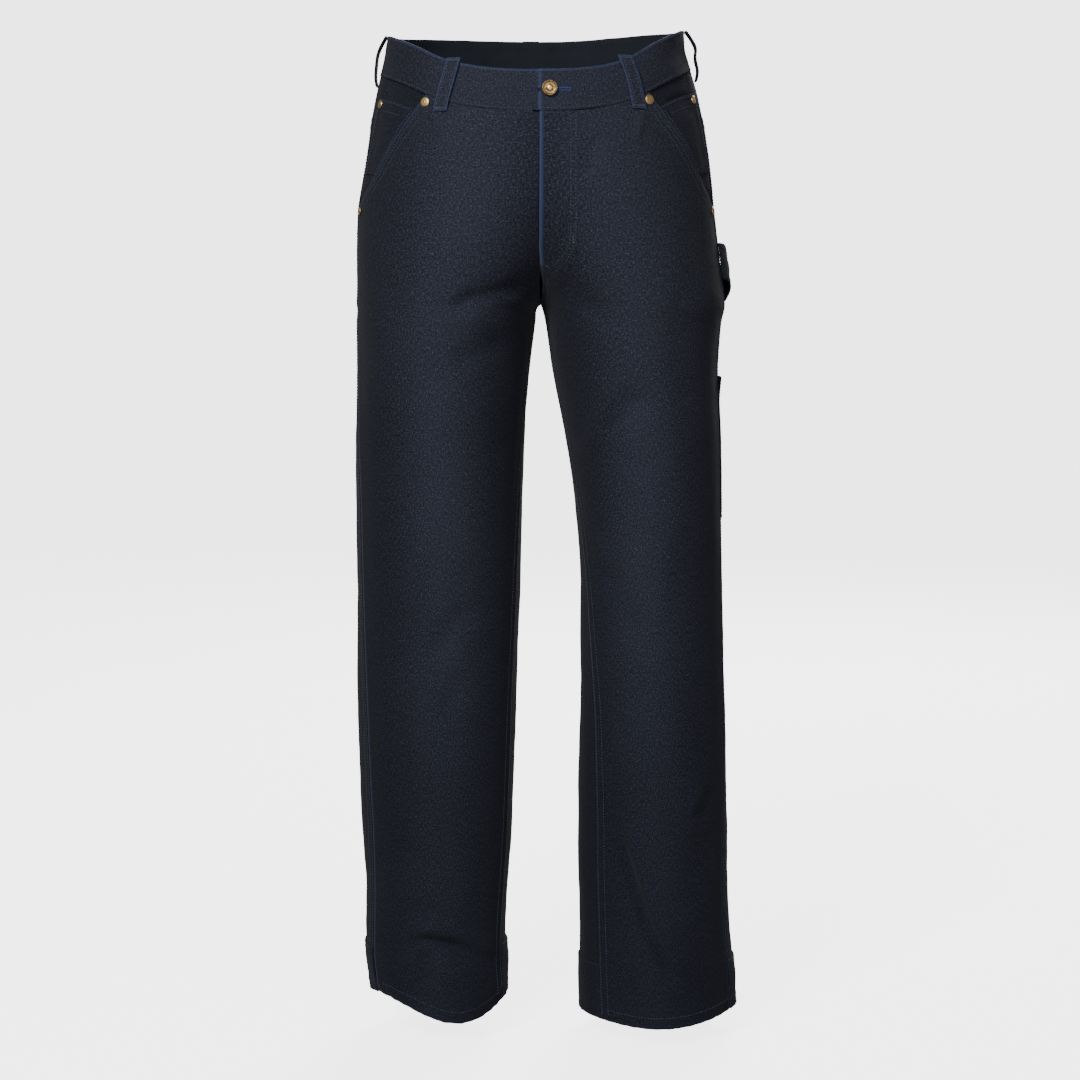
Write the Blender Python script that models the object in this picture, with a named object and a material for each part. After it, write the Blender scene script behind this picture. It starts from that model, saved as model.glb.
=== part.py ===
"""Carpenter pants, filled out as when worn but with nobody inside them.

Metres, +Z up. The front faces -Y and the wearer's left is +X. The origin is the centre of the
waist opening, half way up the waistband. Every piece of cloth is a wall that follows one surface
for each side of the trousers, so that neighbours meet at their seams and what is sewn on a panel
lies on that panel's own points.
"""

import math

import bmesh
import bpy
import numpy as np
from mathutils import Vector

RIGHT, LEFT = -1, 1  # the wearer's sides, as the sign of x

# Cloth
DENIM = 0.0015  # wall of one panel
DOUBLE_DENIM = 0.0018  # straps and loops, folded double
SEAM_GAP = 0.0003
LAY_GAP = 0.00035  # between a panel and what is sewn on it
FACING_DEPTH = 0.0026  # how far the pocket facing lies behind the front panel's face

# Waistband
BAND_HEIGHT = 0.043
BAND_WALL = 0.0026
BAND_PROUD = 0.0008  # the band's face in front of the panels' face
BAND_SIDE_TOP = {RIGHT: 0.0105, LEFT: 0.0165}
BAND_FRONT_TOP = -0.0345
BAND_BACK_TOP = 0.0175
BAND_BACK_RISE = {RIGHT: 0.0020, LEFT: 0.0036}  # between the side and the centre back
LAP_STEP = 0.0015  # each end of the band moves this far, one out and one in
LAP_OVER = 0.003  # how far the upper end passes the centre
LAP_UNDER = 0.032
LAP_EASE = 0.050

# Heights of seams and edges
CROTCH_Z = -0.2814
POCKET_FOOT_Z = -0.174  # where the slash opening meets the outseam
SEAM_TOP_Z = -0.060  # nominal height of the panels' upper edge, before it follows the waist
YOKE_Z = -0.104  # nominal height of the yoke seam
YOKE_SIDE_Z = -0.086
YOKE_BACK_Z = -0.128
HEM_Z = -1.082  # nominal height of the hem
HEM_EASE_Z = -0.950  # below this the rows lean towards the hem's own slope
HEM = {  # heights at the outer side, the front, the inner side and the back
    RIGHT: (-1.065, -1.086, -1.071, -1.078),
    LEFT: (-1.084, -1.0968, -1.0895, -1.088),
}
HEM_SLANT = {RIGHT: -0.0135, LEFT: 0.0}  # how far the front's lowest point leans to the inseam

# The body's sections from the waist to the hem. The outer and inner columns are distances from
# the centre plane, and above the crotch the inner one is where the section would close if the
# other side didn't cut it. Front and back are the half depths.
SECTION_COLUMNS = ("z", "right_outer", "right_inner", "left_outer", "left_inner", "front", "back")
SECTIONS = (
    (0.030, 0.1660, -0.1660, 0.1560, -0.1560, 0.1060, 0.1200),
    (-0.010, 0.1700, -0.1700, 0.1570, -0.1570, 0.1085, 0.1235),
    (-0.036, 0.1772, -0.1670, 0.1690, -0.1590, 0.1105, 0.1270),
    (-0.069, 0.1848, -0.1520, 0.1762, -0.1460, 0.1130, 0.1335),
    (-0.118, 0.1920, -0.1220, 0.1852, -0.1180, 0.1155, 0.1415),
    (-0.174, 0.2024, -0.0850, 0.1913, -0.0820, 0.1155, 0.1450),
    (-0.205, 0.2038, -0.0600, 0.1949, -0.0590, 0.1140, 0.1440),
    (-0.235, 0.2041, -0.0350, 0.1985, -0.0350, 0.1120, 0.1410),
    (-0.260, 0.2040, -0.0155, 0.2020, -0.0155, 0.1100, 0.1375),
    (CROTCH_Z, 0.2046, 0.5 * SEAM_GAP, 0.2042, 0.5 * SEAM_GAP, 0.1080, 0.1330),
    (-0.286, 0.2038, 0.0048, 0.2040, 0.0020, 0.1075, 0.1320),
    (-0.299, 0.2048, 0.0063, 0.2010, 0.0052, 0.1060, 0.1280),
    (-0.355, 0.2054, 0.0129, 0.1975, 0.0132, 0.0995, 0.1170),
    (-0.433, 0.2080, 0.0182, 0.2010, 0.0275, 0.0930, 0.1040),
    (-0.524, 0.2082, 0.0209, 0.2030, 0.0401, 0.0870, 0.0925),
    (-0.615, 0.2081, 0.0232, 0.2058, 0.0448, 0.0825, 0.0850),
    (-0.707, 0.2090, 0.0268, 0.2090, 0.0448, 0.0785, 0.0810),
    (-0.800, 0.2082, 0.0300, 0.2123, 0.0428, 0.0730, 0.0790),
    (-0.894, 0.2040, 0.0339, 0.2144, 0.0421, 0.0675, 0.0775),
    (-0.950, 0.2008, 0.0380, 0.2162, 0.0434, 0.0650, 0.0765),
    (-1.000, 0.2020, 0.0408, 0.2190, 0.0443, 0.0640, 0.0765),
    (-1.040, 0.2000, 0.0395, 0.2225, 0.0446, 0.0640, 0.0770),
    (-1.066, 0.1950, 0.0405, 0.2235, 0.0450, 0.0640, 0.0775),
    (-1.100, 0.1925, 0.0420, 0.2240, 0.0470, 0.0640, 0.0780),
)

# Where the leg's seams run, in degrees round the section: 0 is the inner side, 90 the front,
# 180 the outer side and 270 the back.
SEAM_COLUMNS = ("z", "right_outseam", "left_outseam", "right_inseam", "left_inseam")
SEAMS = (
    (0.030, 168, 168, 0, 0),
    (POCKET_FOOT_Z, 168, 169, 0, 0),
    (CROTCH_Z, 171, 171, 0, 0),
    (-0.400, 163, 169, 8, 8),
    (-0.500, 156, 168, 14, 16),
    (-0.600, 154, 166, 18, 24),
    (-0.750, 147, 160, 20, 37),
    (-0.870, 145, 156, 20, 41),
    (-0.950, 149, 153, 20, 41),
    (-1.100, 149, 156, 20, 42),
)

# The slash opening's edge, in degrees as above
SLASH_COLUMNS = ("z", "angle")
SLASH = (
    (0.000, 118.0),
    (-0.060, 130.5),
    (-0.078, 135.3),
    (-0.105, 143.2),
    (-0.146, 153.5),
    (-0.165, 161.5),
    (POCKET_FOOT_Z, 168.0),
)

# The largest folds, as ridges (height over 0) and troughs (under 0) between two points of the
# front or back view
FOLD_COLUMNS = ("side", "face", "x1", "z1", "x2", "z2", "width", "height")
FOLDS = (
    (RIGHT, "front", -0.151, -0.993, -0.100, -0.999, 0.026, -0.0030),
    (RIGHT, "front", -0.100, -0.999, -0.058, -1.028, 0.026, -0.0034),
    (RIGHT, "front", -0.150, -1.022, -0.090, -1.032, 0.030, 0.0020),
    (RIGHT, "front", -0.074, -0.604, -0.107, -0.648, 0.034, -0.0020),
    (RIGHT, "front", -0.093, -0.695, -0.110, -0.747, 0.034, -0.0018),
    (RIGHT, "front", -0.010, -0.264, -0.076, -0.276, 0.034, -0.0030),
    (RIGHT, "front", -0.044, -0.324, -0.092, -0.345, 0.036, -0.0022),
    (LEFT, "front", 0.093, -0.892, 0.107, -0.936, 0.028, -0.0026),
    (LEFT, "front", 0.107, -0.936, 0.133, -1.002, 0.026, -0.0042),
    (LEFT, "front", 0.133, -1.002, 0.158, -1.051, 0.028, -0.0030),
    (LEFT, "front", 0.178, -0.810, 0.169, -0.844, 0.034, 0.0022),
    (LEFT, "front", 0.071, -0.376, 0.052, -0.440, 0.038, 0.0022),
    (LEFT, "front", 0.113, -0.372, 0.065, -0.421, 0.036, -0.0022),
    (LEFT, "front", 0.010, -0.266, 0.069, -0.289, 0.034, -0.0028),
    (RIGHT, "back", -0.030, -0.315, -0.125, -0.290, 0.036, -0.0035),
    (RIGHT, "back", -0.045, -0.368, -0.135, -0.350, 0.036, -0.0026),
    (RIGHT, "back", -0.060, -0.590, -0.150, -0.604, 0.036, -0.0028),
    (RIGHT, "back", -0.155, -0.655, -0.075, -0.640, 0.036, -0.0026),
    (RIGHT, "back", -0.070, -0.930, -0.150, -0.950, 0.034, -0.0030),
    (LEFT, "back", 0.030, -0.318, 0.120, -0.288, 0.036, -0.0035),
    (LEFT, "back", 0.045, -0.372, 0.130, -0.362, 0.036, -0.0024),
    (LEFT, "back", 0.075, -0.600, 0.160, -0.585, 0.036, -0.0028),
    (LEFT, "back", 0.160, -0.640, 0.085, -0.662, 0.036, -0.0026),
    (LEFT, "back", 0.090, -0.960, 0.175, -0.935, 0.034, -0.0032),
)

# The rows of points down a leg, closer at the crotch and the shin
LEG_ROWS = (
    POCKET_FOOT_Z, -0.205, -0.235, -0.260, -0.273, CROTCH_Z, -0.286, -0.299, -0.322, -0.352,
    -0.388, -0.428, -0.470, -0.514, -0.558, -0.602, -0.646, -0.690, -0.735, -0.780, -0.824,
    -0.866, -0.905, -0.940, -0.972, -1.001, -1.027, -1.052, HEM_Z,
)
FRONT_TOP_ROWS = (SEAM_TOP_Z, -0.086, -0.115, -0.142, -0.160)
YOKE_ROWS = (SEAM_TOP_Z, -0.082, YOKE_Z)
BACK_TOP_ROWS = (YOKE_Z, -0.138)
FACING_ROWS = (SEAM_TOP_Z, -0.078, -0.100, -0.123, -0.146, -0.162, -0.186)
COIN_ROWS = (1, 4)  # the rows of the facing that the coin pocket covers
COIN_COLUMNS = (1, 4)
COIN_REACH = 0.88  # how far the coin pocket goes from the slash edge to the outseam
FRONT_COLUMNS = 8
BACK_COLUMNS = 12
BAND_ROWS = 3

# Sewn-on pieces
LOOP_WIDTH = 0.016
LOOP_BELOW_BAND = 0.012
FRONT_LOOP_ANGLE = {RIGHT: 121.5, LEFT: 123.0}
SIDE_LOOP_ANGLE = 182.0
SIDE_LOOP_BULGE = {RIGHT: 0.0074, LEFT: 0.0115}
FLAT_LOOP_BULGE = 0.0016
BACK_LOOP_X = -0.006
BACK_LOOP_WIDTH = 0.019

BACK_POCKET = {"inner": 0.026, "outer": 0.148, "top": -0.146, "side_foot": -0.262, "point": -0.292}
POCKET_WALL = 0.0014
HEEL_TOP = {RIGHT: -1.010, LEFT: -1.028}
HEEL_WALL = 0.0016

TOOL_POCKET = {"front": 171.0, "back": 226.0, "top": -0.362, "foot": -0.520}
TOOL_MOUTH_STAND = 0.0030  # how far the mouth stands off, and over what height
TOOL_MOUTH_HEIGHT = 0.028

HAMMER_STRAP = {"front": 170.0, "back": 222.0, "front_z": -0.234, "back_z": -0.276}
HAMMER_WIDTH = 0.040
HAMMER_STAND = 0.0105
HAMMER_STATIONS = 11

# Hardware
BUTTON_AT = (0.0094, -0.0545)
BUTTON_PROFILE = (  # radius and height from the cloth
    (0.0048, 0.0000), (0.0080, 0.0010), (0.0086, 0.0022), (0.0082, 0.0034), (0.0068, 0.0038),
    (0.0054, 0.0032), (0.0036, 0.0040), (0.0018, 0.0044),
)
BUTTON_SIDES = 20
RIVET_RADIUS = 0.0055
SMALL_RIVET_RADIUS = 0.0049
RIVET_HEIGHT = 0.0016
RIVET_SIDES = 12
RIVET_SEAT = 0.0006
TOP_RIVET_DROP = 0.0083  # below the band
TOP_RIVET_BACK = 2.7  # degrees inside the slash edge
FOOT_RIVET_DROP = 0.0058
FOOT_RIVET_BACK = 2.6
COIN_RIVET_DROP = 0.0062
COIN_RIVET_BACK = 2.4

# Finishes: base colour, metallic and roughness
FINISHES = {
    "denim": ((0.020, 0.026, 0.050, 1.0), 0.0, 0.88),
    "denim_double": ((0.018, 0.023, 0.045, 1.0), 0.0, 0.86),
    "brass": ((0.72, 0.50, 0.22, 1.0), 1.0, 0.30),
    "antique_brass": ((0.46, 0.32, 0.16, 1.0), 1.0, 0.38),
}


def clear_scene():
    for obj in list(bpy.data.objects):
        bpy.data.objects.remove(obj, do_unlink=True)


def finish(name):
    """The material of this name, made on its first use."""
    if name in bpy.data.materials:
        return bpy.data.materials[name]
    colour, metallic, roughness = FINISHES[name]
    material = bpy.data.materials.new(name)
    material.use_nodes = True
    shader = material.node_tree.nodes["Principled BSDF"]
    shader.inputs["Base Color"].default_value = colour
    shader.inputs["Metallic"].default_value = metallic
    shader.inputs["Roughness"].default_value = roughness
    return material


def ease(t):
    """From 0 to 1 without a kink at either end."""
    t = min(max(t, 0.0), 1.0)
    return t * t * (3 - 2 * t)


def mix(a, b, t):
    return a + (b - a) * t


def smooth_curve(xs, ys):
    """A curve through the points that doesn't overshoot between them."""
    order = np.argsort(xs)
    xs, ys = np.array(xs, float)[order], np.array(ys, float)[order]
    gaps = np.diff(xs)
    slopes = np.diff(ys) / gaps
    tangents = np.zeros(len(xs))
    for i in range(1, len(xs) - 1):
        if slopes[i - 1] * slopes[i] > 0:
            tangents[i] = 2 / (1 / slopes[i - 1] + 1 / slopes[i])

    def at(x):
        x = min(max(x, xs[0]), xs[-1])
        i = min(int(np.searchsorted(xs, x, side="right")) - 1, len(gaps) - 1)
        t = (x - xs[i]) / gaps[i]
        bend = (1 - t) * tangents[i] * gaps[i] * t * (1 - t)
        bend -= t * tangents[i + 1] * gaps[i] * t * (1 - t)
        straight = ys[i] + (ys[i + 1] - ys[i]) * (3 * t * t - 2 * t * t * t)
        return straight + bend

    return at


def column(names, rows, name):
    return [row[names.index(name)] for row in rows]


def table_curve(names, rows, name):
    return smooth_curve(column(names, rows, names[0]), column(names, rows, name))


slash_angle = table_curve(SLASH_COLUMNS, SLASH, "angle")


class Side:
    """The surface of one side of the trousers, from the waist to the hem."""

    def __init__(self, sign):
        self.sign = sign
        self.word = "right" if sign == RIGHT else "left"
        self.outer = table_curve(SECTION_COLUMNS, SECTIONS, self.word + "_outer")
        self.inner = table_curve(SECTION_COLUMNS, SECTIONS, self.word + "_inner")
        self.front = table_curve(SECTION_COLUMNS, SECTIONS, "front")
        self.back = table_curve(SECTION_COLUMNS, SECTIONS, "back")
        self.outseam = table_curve(SEAM_COLUMNS, SEAMS, self.word + "_outseam")
        self.inseam = table_curve(SEAM_COLUMNS, SEAMS, self.word + "_inseam")
        self.folds = [fold for fold in FOLDS if fold[0] == sign]

    def start(self, z):
        """The angle of the centre seam above the crotch, and of the inseam below it."""
        if z < CROTCH_Z:
            return self.inseam(z)
        outer, inner = self.outer(z), self.inner(z)
        middle, half = (outer + inner) / 2, (outer - inner) / 2
        ratio = (middle - 0.5 * SEAM_GAP) / half
        return math.degrees(math.acos(min(max(ratio, -1.0), 1.0)))

    def end(self, z):
        return 360 + self.start(z) if z < CROTCH_Z else 360 - self.start(z)

    def plain(self, angle, z):
        """The point of the section, without folds."""
        outer, inner = self.outer(z), self.inner(z)
        middle, half = (outer + inner) / 2, (outer - inner) / 2
        turn = math.radians(angle)
        depth = self.front(z) if math.sin(turn) > 0 else self.back(z)
        x = middle - half * math.cos(turn)
        return Vector((self.sign * x, -depth * math.sin(turn), z))

    def plain_normal(self, angle, z):
        across = self.plain(angle + 0.5, z) - self.plain(angle - 0.5, z)
        up = self.plain(angle, z + 0.001) - self.plain(angle, z - 0.001)
        return (self.sign * up.cross(across)).normalized() * -1

    def fold_height(self, angle, point):
        facing = math.sin(math.radians(angle))
        total = 0.0
        for _, face, x1, z1, x2, z2, width, height in self.folds:
            towards = facing if face == "front" else -facing
            if towards <= 0:
                continue
            start = Vector((x1, z1))
            along = Vector((x2, z2)) - start
            length = along.length
            along.normalize()
            offset = Vector((point.x, point.z)) - start
            run = offset.dot(along)
            past = max(-run, run - length, 0.0)
            aside = abs(offset.cross(along))
            reach = math.exp(-((2 * aside / width) ** 2) - (past / width) ** 2)
            total += height * reach * ease(2.5 * towards)
        return total

    def lap(self, point):
        """The left front's edge stands over the right one's along the fly."""
        down = ease((point.z + 0.240) / 0.030)
        across = 1 - ease(abs(point.x) / 0.045)
        return 0.0008 * self.sign * across * down if point.y < 0 else 0.0

    def point(self, angle, z):
        spot = self.plain(angle, z)
        lift = self.fold_height(angle, spot) + self.lap(spot)
        return spot + self.plain_normal(angle, z) * lift if lift else spot

    def normal(self, angle, z):
        across = self.point(angle + 0.8, z) - self.point(angle - 0.8, z)
        up = self.point(angle, z + 0.002) - self.point(angle, z - 0.002)
        return (self.sign * up.cross(across)).normalized() * -1

    def band_top(self, angle):
        turn = math.sin(math.radians(angle))
        far = BAND_FRONT_TOP if turn > 0 else BAND_BACK_TOP
        rise = BAND_BACK_RISE[self.sign] * math.sin(math.radians(2 * angle)) ** 2
        return mix(BAND_SIDE_TOP[self.sign], far, turn * turn) + (rise if turn < 0 else 0.0)

    def waist_seam(self, angle):
        return self.band_top(angle) - BAND_HEIGHT

    def yoke_seam(self, angle):
        start = self.outseam(YOKE_SIDE_Z)
        return mix(YOKE_SIDE_Z, YOKE_BACK_Z, min(max((angle - start) / (270 - start), 0), 1))

    def hem(self, angle):
        outer, front, inner, back = HEM[self.sign]
        turn = math.radians(angle)
        side = mix(inner, outer, (1 - math.cos(turn)) / 2)
        if math.sin(turn) <= 0:
            return mix(side, back, math.sin(turn) ** 2)
        slant = HEM_SLANT[self.sign] * math.sin(2 * turn) * math.sin(turn)
        return mix(side, front, math.sin(turn) ** 3) + slant

    def angle_at_x(self, x, z, face):
        """The angle whose plain point has this x, on the front or the back."""
        outer, inner = self.outer(z), self.inner(z)
        middle, half = (outer + inner) / 2, (outer - inner) / 2
        angle = math.degrees(math.acos(min(max((middle - abs(x)) / half, -1), 1)))
        return angle if face == "front" else 360 - angle

    def row_height(self, angle, z, top):
        """A row's height at this angle: the rows lean towards the upper edge and the hem."""
        if z > POCKET_FOOT_Z:
            nominal, edge = top
            near = (z - POCKET_FOOT_Z) / (nominal - POCKET_FOOT_Z)
            z += (edge(angle) - nominal) * near
        elif z < HEM_EASE_Z:
            near = (HEM_EASE_Z - z) / (HEM_EASE_Z - HEM_Z)
            z += (self.hem(angle) - HEM_Z) * near
        return z


class Sheet:
    """A grid of surface points with their outward normals."""

    def __init__(self, points, normals):
        self.points, self.normals = points, normals

    def part(self, rows, columns):
        first_row, last_row = rows
        first, last = columns
        points = [row[first : last + 1] for row in self.points[first_row : last_row + 1]]
        normals = [row[first : last + 1] for row in self.normals[first_row : last_row + 1]]
        return Sheet(points, normals)

    def patch(self):
        """The grid as (points, normals, triangles), the triangles facing out."""
        width = len(self.points[0])
        points = [point for row in self.points for point in row]
        normals = [normal for row in self.normals for normal in row]
        triangles = []
        for i in range(len(self.points) - 1):
            for j in range(width - 1):
                a, b = i * width + j, i * width + j + 1
                c, d = a + width, b + width
                if (points[a] - points[d]).length < (points[b] - points[c]).length:
                    triangles += [(a, c, d), (a, d, b)]
                else:
                    triangles += [(a, c, b), (b, c, d)]
        a, b, c = (points[k] for k in triangles[len(triangles) // 2])
        if (b - a).cross(c - a).dot(normals[triangles[len(triangles) // 2][0]]) < 0:
            triangles = [(a, c, b) for a, b, c in triangles]
        return points, normals, triangles


def panel_sheet(side, rows, columns, low, high, height):
    """The grid between two seams. low and high give their angles at a height, height gives a
    row's own height at an angle, and each edge is drawn back by half of the seam gap."""
    steps = [j / columns for j in range(columns + 1)]
    points, normals = [], []
    last = len(rows) - 1
    for i, nominal in enumerate(rows):
        point_row, normal_row = [], []
        for step in steps:
            rough = mix(low(nominal), high(nominal), step)
            z = height(rough, nominal)
            if i == 0:
                z -= 0.5 * SEAM_GAP
            if i == last and nominal > HEM_Z:
                z += 0.5 * SEAM_GAP
            angle = mix(low(z), high(z), step)
            span = (side.plain(angle + 0.5, z) - side.plain(angle - 0.5, z)).length
            trim = 0.5 * SEAM_GAP / span
            if step == 0:
                angle += trim
            if step == 1:
                angle -= trim
            point_row.append(side.point(angle, z))
            normal_row.append(side.normal(angle, z))
        points.append(point_row)
        normals.append(normal_row)
    return Sheet(points, normals)


def shell(name, patch, near, far, material):
    """A closed wall over a patch, from near to far along the normals. Each of the two is one
    distance or one for each point."""
    points, normals, triangles = patch
    count = len(points)
    near = near if isinstance(near, list) else [near] * count
    far = far if isinstance(far, list) else [far] * count
    bm = bmesh.new()
    inside = [bm.verts.new(points[k] + normals[k] * near[k]) for k in range(count)]
    outside = [bm.verts.new(points[k] + normals[k] * far[k]) for k in range(count)]
    used = {}
    for a, b, c in triangles:
        bm.faces.new((outside[a], outside[b], outside[c]))
        bm.faces.new((inside[a], inside[c], inside[b]))
        for edge in ((a, b), (b, c), (c, a)):
            used[edge] = True
    for a, b in used:
        if (b, a) not in used:
            bm.faces.new((outside[b], outside[a], inside[a]))
            bm.faces.new((outside[b], inside[a], inside[b]))
    return make_object(name, bm, material)


def make_object(name, bm, material):
    mesh = bpy.data.meshes.new(name)
    bm.to_mesh(mesh)
    bm.free()
    mesh.materials.append(finish(material))
    mesh.shade_smooth()
    mesh.set_sharp_from_angle(angle=math.radians(40))
    obj = bpy.data.objects.new(name, mesh)
    bpy.context.scene.collection.objects.link(obj)
    return obj


def cut_patch(patch, planes):
    """The part of a patch that lies behind every plane, given as (point, outward direction)."""
    points, _, triangles = patch
    bm = bmesh.new()
    verts = [bm.verts.new(point) for point in points]
    for triangle in triangles:
        bm.faces.new([verts[k] for k in triangle])
    for place, outward in planes:
        bmesh.ops.bisect_plane(
            bm,
            geom=bm.verts[:] + bm.edges[:] + bm.faces[:],
            dist=1e-6,
            plane_co=place,
            plane_no=outward,
            clear_outer=True,
        )
    bmesh.ops.remove_doubles(bm, verts=bm.verts[:], dist=0.0004)
    bmesh.ops.triangulate(bm, faces=bm.faces[:])
    bm.normal_update()
    bm.verts.index_update()
    kept = [vert.co.copy() for vert in bm.verts]
    normals = [vert.normal.copy() for vert in bm.verts]
    faces = [tuple(vert.index for vert in face.verts) for face in bm.faces]
    bm.free()
    return kept, normals, faces


def strip(name, path, across, width, near, thickness, material):
    """A strap along a path of (point, normal) pairs, its inner face near[i] from the path."""
    points, normals = [], []
    for (point, normal), direction in zip(path, across):
        sideways = direction.normalized() * width / 2
        points.append([point - sideways, point, point + sideways])
        normals.append([normal] * 3)
    lifts = [lift for lift in near for _ in range(3)]
    patch = Sheet(points, normals).patch()
    return shell(name, patch, lifts, [lift + thickness for lift in lifts], material)


def turned(name, profile, sides, place, normal, material):
    """A small metal piece turned about the cloth's normal, closed at its foot and its crown."""
    turn = normal.to_track_quat("Z", "Y")
    bm = bmesh.new()
    rings = []
    for radius, height in profile:
        ring = []
        for k in range(sides):
            angle = math.tau * k / sides
            local = Vector((radius * math.cos(angle), radius * math.sin(angle), height))
            ring.append(bm.verts.new(place + turn @ local))
        rings.append(ring)
    for low, high in zip(rings, rings[1:]):
        for k in range(sides):
            following = (k + 1) % sides
            bm.faces.new((low[k], low[following], high[following], high[k]))
    bm.faces.new(rings[0][::-1])
    bm.faces.new(rings[-1])
    bmesh.ops.triangulate(bm, faces=bm.faces[:])
    return make_object(name, bm, material)


def add_fronts_and_backs(side):
    """The panels of one side. Returns the back's sheet, on which other pieces lie."""
    word = side.word

    def front_edge(z):
        return min(slash_angle(z), side.outseam(z)) if z > POCKET_FOOT_Z else side.outseam(z)

    def under_band(angle, z):
        return side.row_height(angle, z, (SEAM_TOP_Z, side.waist_seam))

    def under_yoke(angle, z):
        return side.row_height(angle, z, (YOKE_Z, side.yoke_seam))

    def yoke_height(angle, z):
        near = (z - YOKE_Z) / (SEAM_TOP_Z - YOKE_Z)
        return mix(side.yoke_seam(angle), side.waist_seam(angle), near)

    rows = FRONT_TOP_ROWS + LEG_ROWS
    front = panel_sheet(side, rows, FRONT_COLUMNS, side.start, front_edge, under_band)
    shell("front_" + word, front.patch(), -DENIM, 0.0, "denim")
    rows = BACK_TOP_ROWS + LEG_ROWS
    back = panel_sheet(side, rows, BACK_COLUMNS, side.outseam, side.end, under_yoke)
    shell("back_" + word, back.patch(), -DENIM, 0.0, "denim")
    yoke = panel_sheet(side, YOKE_ROWS, BACK_COLUMNS, side.outseam, side.end, yoke_height)
    shell("yoke_" + word, yoke.patch(), -DENIM, 0.0, "denim")
    return back


def add_facing(side):
    """The cloth behind the slash opening, with the coin pocket on it."""
    waist = (SEAM_TOP_Z, side.waist_seam)
    points, normals = [], []
    last = len(FACING_ROWS) - 1
    for i, nominal in enumerate(FACING_ROWS):
        point_row, normal_row = [], []
        for j in range(6):
            angle = facing_angle(side, nominal, j)
            z = side.row_height(angle, nominal, waist)
            if i == 0:
                z -= 0.5 * SEAM_GAP
            if i < last:
                angle = facing_angle(side, z, j)
            point_row.append(side.plain(angle, z))
            normal_row.append(side.plain_normal(angle, z))
        points.append(point_row)
        normals.append(normal_row)
    facing = Sheet(points, normals)
    face = -FACING_DEPTH
    shell("pocket_facing_" + side.word, facing.patch(), face - DENIM, face, "denim")
    coin = facing.part(COIN_ROWS, COIN_COLUMNS).patch()
    shell("coin_pocket_" + side.word, coin, face + LAY_GAP, face + LAY_GAP + POCKET_WALL, "denim")


def facing_angle(side, z, j):
    """The facing's columns: under the front, at the slash edge, and on to the outseam."""
    opening, seam = min(slash_angle(z), side.outseam(z) - 2.0), side.outseam(z)
    if j == 0:
        return opening - 12.0
    if j == 5:
        return seam - 0.15
    return mix(opening + 0.25, seam - 1.0, (j - 1) / 3 * COIN_REACH)


def waist_columns(side):
    """The angles of the panels' upper edge, each with the one that set its height: the front's
    columns, the facing's and the yoke's."""
    columns = []

    def add(count, low, high, first=0):
        for j in range(first, count + 1):
            rough = mix(low(SEAM_TOP_Z), high(SEAM_TOP_Z), j / count)
            z = side.waist_seam(rough)
            columns.append((rough, mix(low(z), high(z), j / count)))

    add(FRONT_COLUMNS, side.start, slash_angle)
    add(3, slash_angle, side.outseam, first=1)
    add(BACK_COLUMNS, side.outseam, side.end, first=1)
    return columns


def add_waistband(sides):
    """One strip from its right end, under the lap, round the back to its left end, over it."""
    right, left = sides[RIGHT], sides[LEFT]
    stations = [(left, left.angle_at_x(x, SEAM_TOP_Z, "front"), None, "under")
                for x in (LAP_UNDER, LAP_UNDER / 2)]
    stations += [(right, rough, angle, "under") for rough, angle in waist_columns(right)]
    stations += [(left, rough, angle, "over") for rough, angle in waist_columns(left)[-2::-1]]
    stations += [(right, right.angle_at_x(LAP_OVER, SEAM_TOP_Z, "front"), None, "over")]
    points, normals = [], []
    for level in range(BAND_ROWS):
        row = [band_point(*station, level / (BAND_ROWS - 1)) for station in stations]
        points.append([spot for spot, _ in row])
        normals.append([normal for _, normal in row])
    patch = Sheet(points, normals).patch()
    shell("waistband", patch, BAND_PROUD - BAND_WALL, BAND_PROUD, "denim_double")


def band_point(side, rough, foot_angle, layer, level):
    """A point of the band's middle surface. Past the centre a station has no panel under it, so
    it keeps its own angle."""
    low = side.waist_seam(rough) + 0.5 * SEAM_GAP
    z = mix(low, side.band_top(rough), level)
    angle = rough
    if foot_angle is not None:
        share = (foot_angle - side.start(low)) / (side.end(low) - side.start(low))
        angle = mix(side.start(z), side.end(z), share)
    spot, normal = side.plain(angle, z), side.plain_normal(angle, z)
    if abs(spot.x) < SEAM_GAP:
        spot.x, normal.x = 0.0, 0.0
    own_side = (side.sign == LEFT) == (layer == "over")
    beyond = abs(spot.x) if own_side else -abs(spot.x)
    flat = LAP_UNDER if layer == "over" else LAP_OVER
    shift = (1 - ease((beyond - flat) / LAP_EASE)) if spot.y < 0 else 0.0
    return spot + normal * (shift * (LAP_STEP if layer == "over" else -LAP_STEP)), normal


def add_belt_loop(name, side, angle, width, bulge, shift=0.0):
    """A loop from the band's upper edge to a little below the band, bowed out by its bulge."""
    top = side.band_top(angle) + 0.0008
    low = side.waist_seam(angle)
    foot = low - LOOP_BELOW_BAND
    heights = [top, mix(top, low, 0.15), mix(top, low, 0.45), mix(top, low, 0.8), low - 0.004, foot]
    bows = [0.0, 0.45, 1.0, 0.85, 0.45, 0.0]
    path, across, near = [], [], []
    for z, bow in zip(heights, bows):
        spot, normal = side.plain(angle, z), side.plain_normal(angle, z)
        spot.x += shift
        path.append((spot, normal))
        across.append(side.plain(angle + 1, z) - side.plain(angle - 1, z))
        rest = LAY_GAP + BAND_PROUD * ease((z - foot) / (low - foot))
        near.append(rest + bulge * bow)
    strip(name, path, across, width, near, DOUBLE_DENIM, "denim_double")


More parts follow.
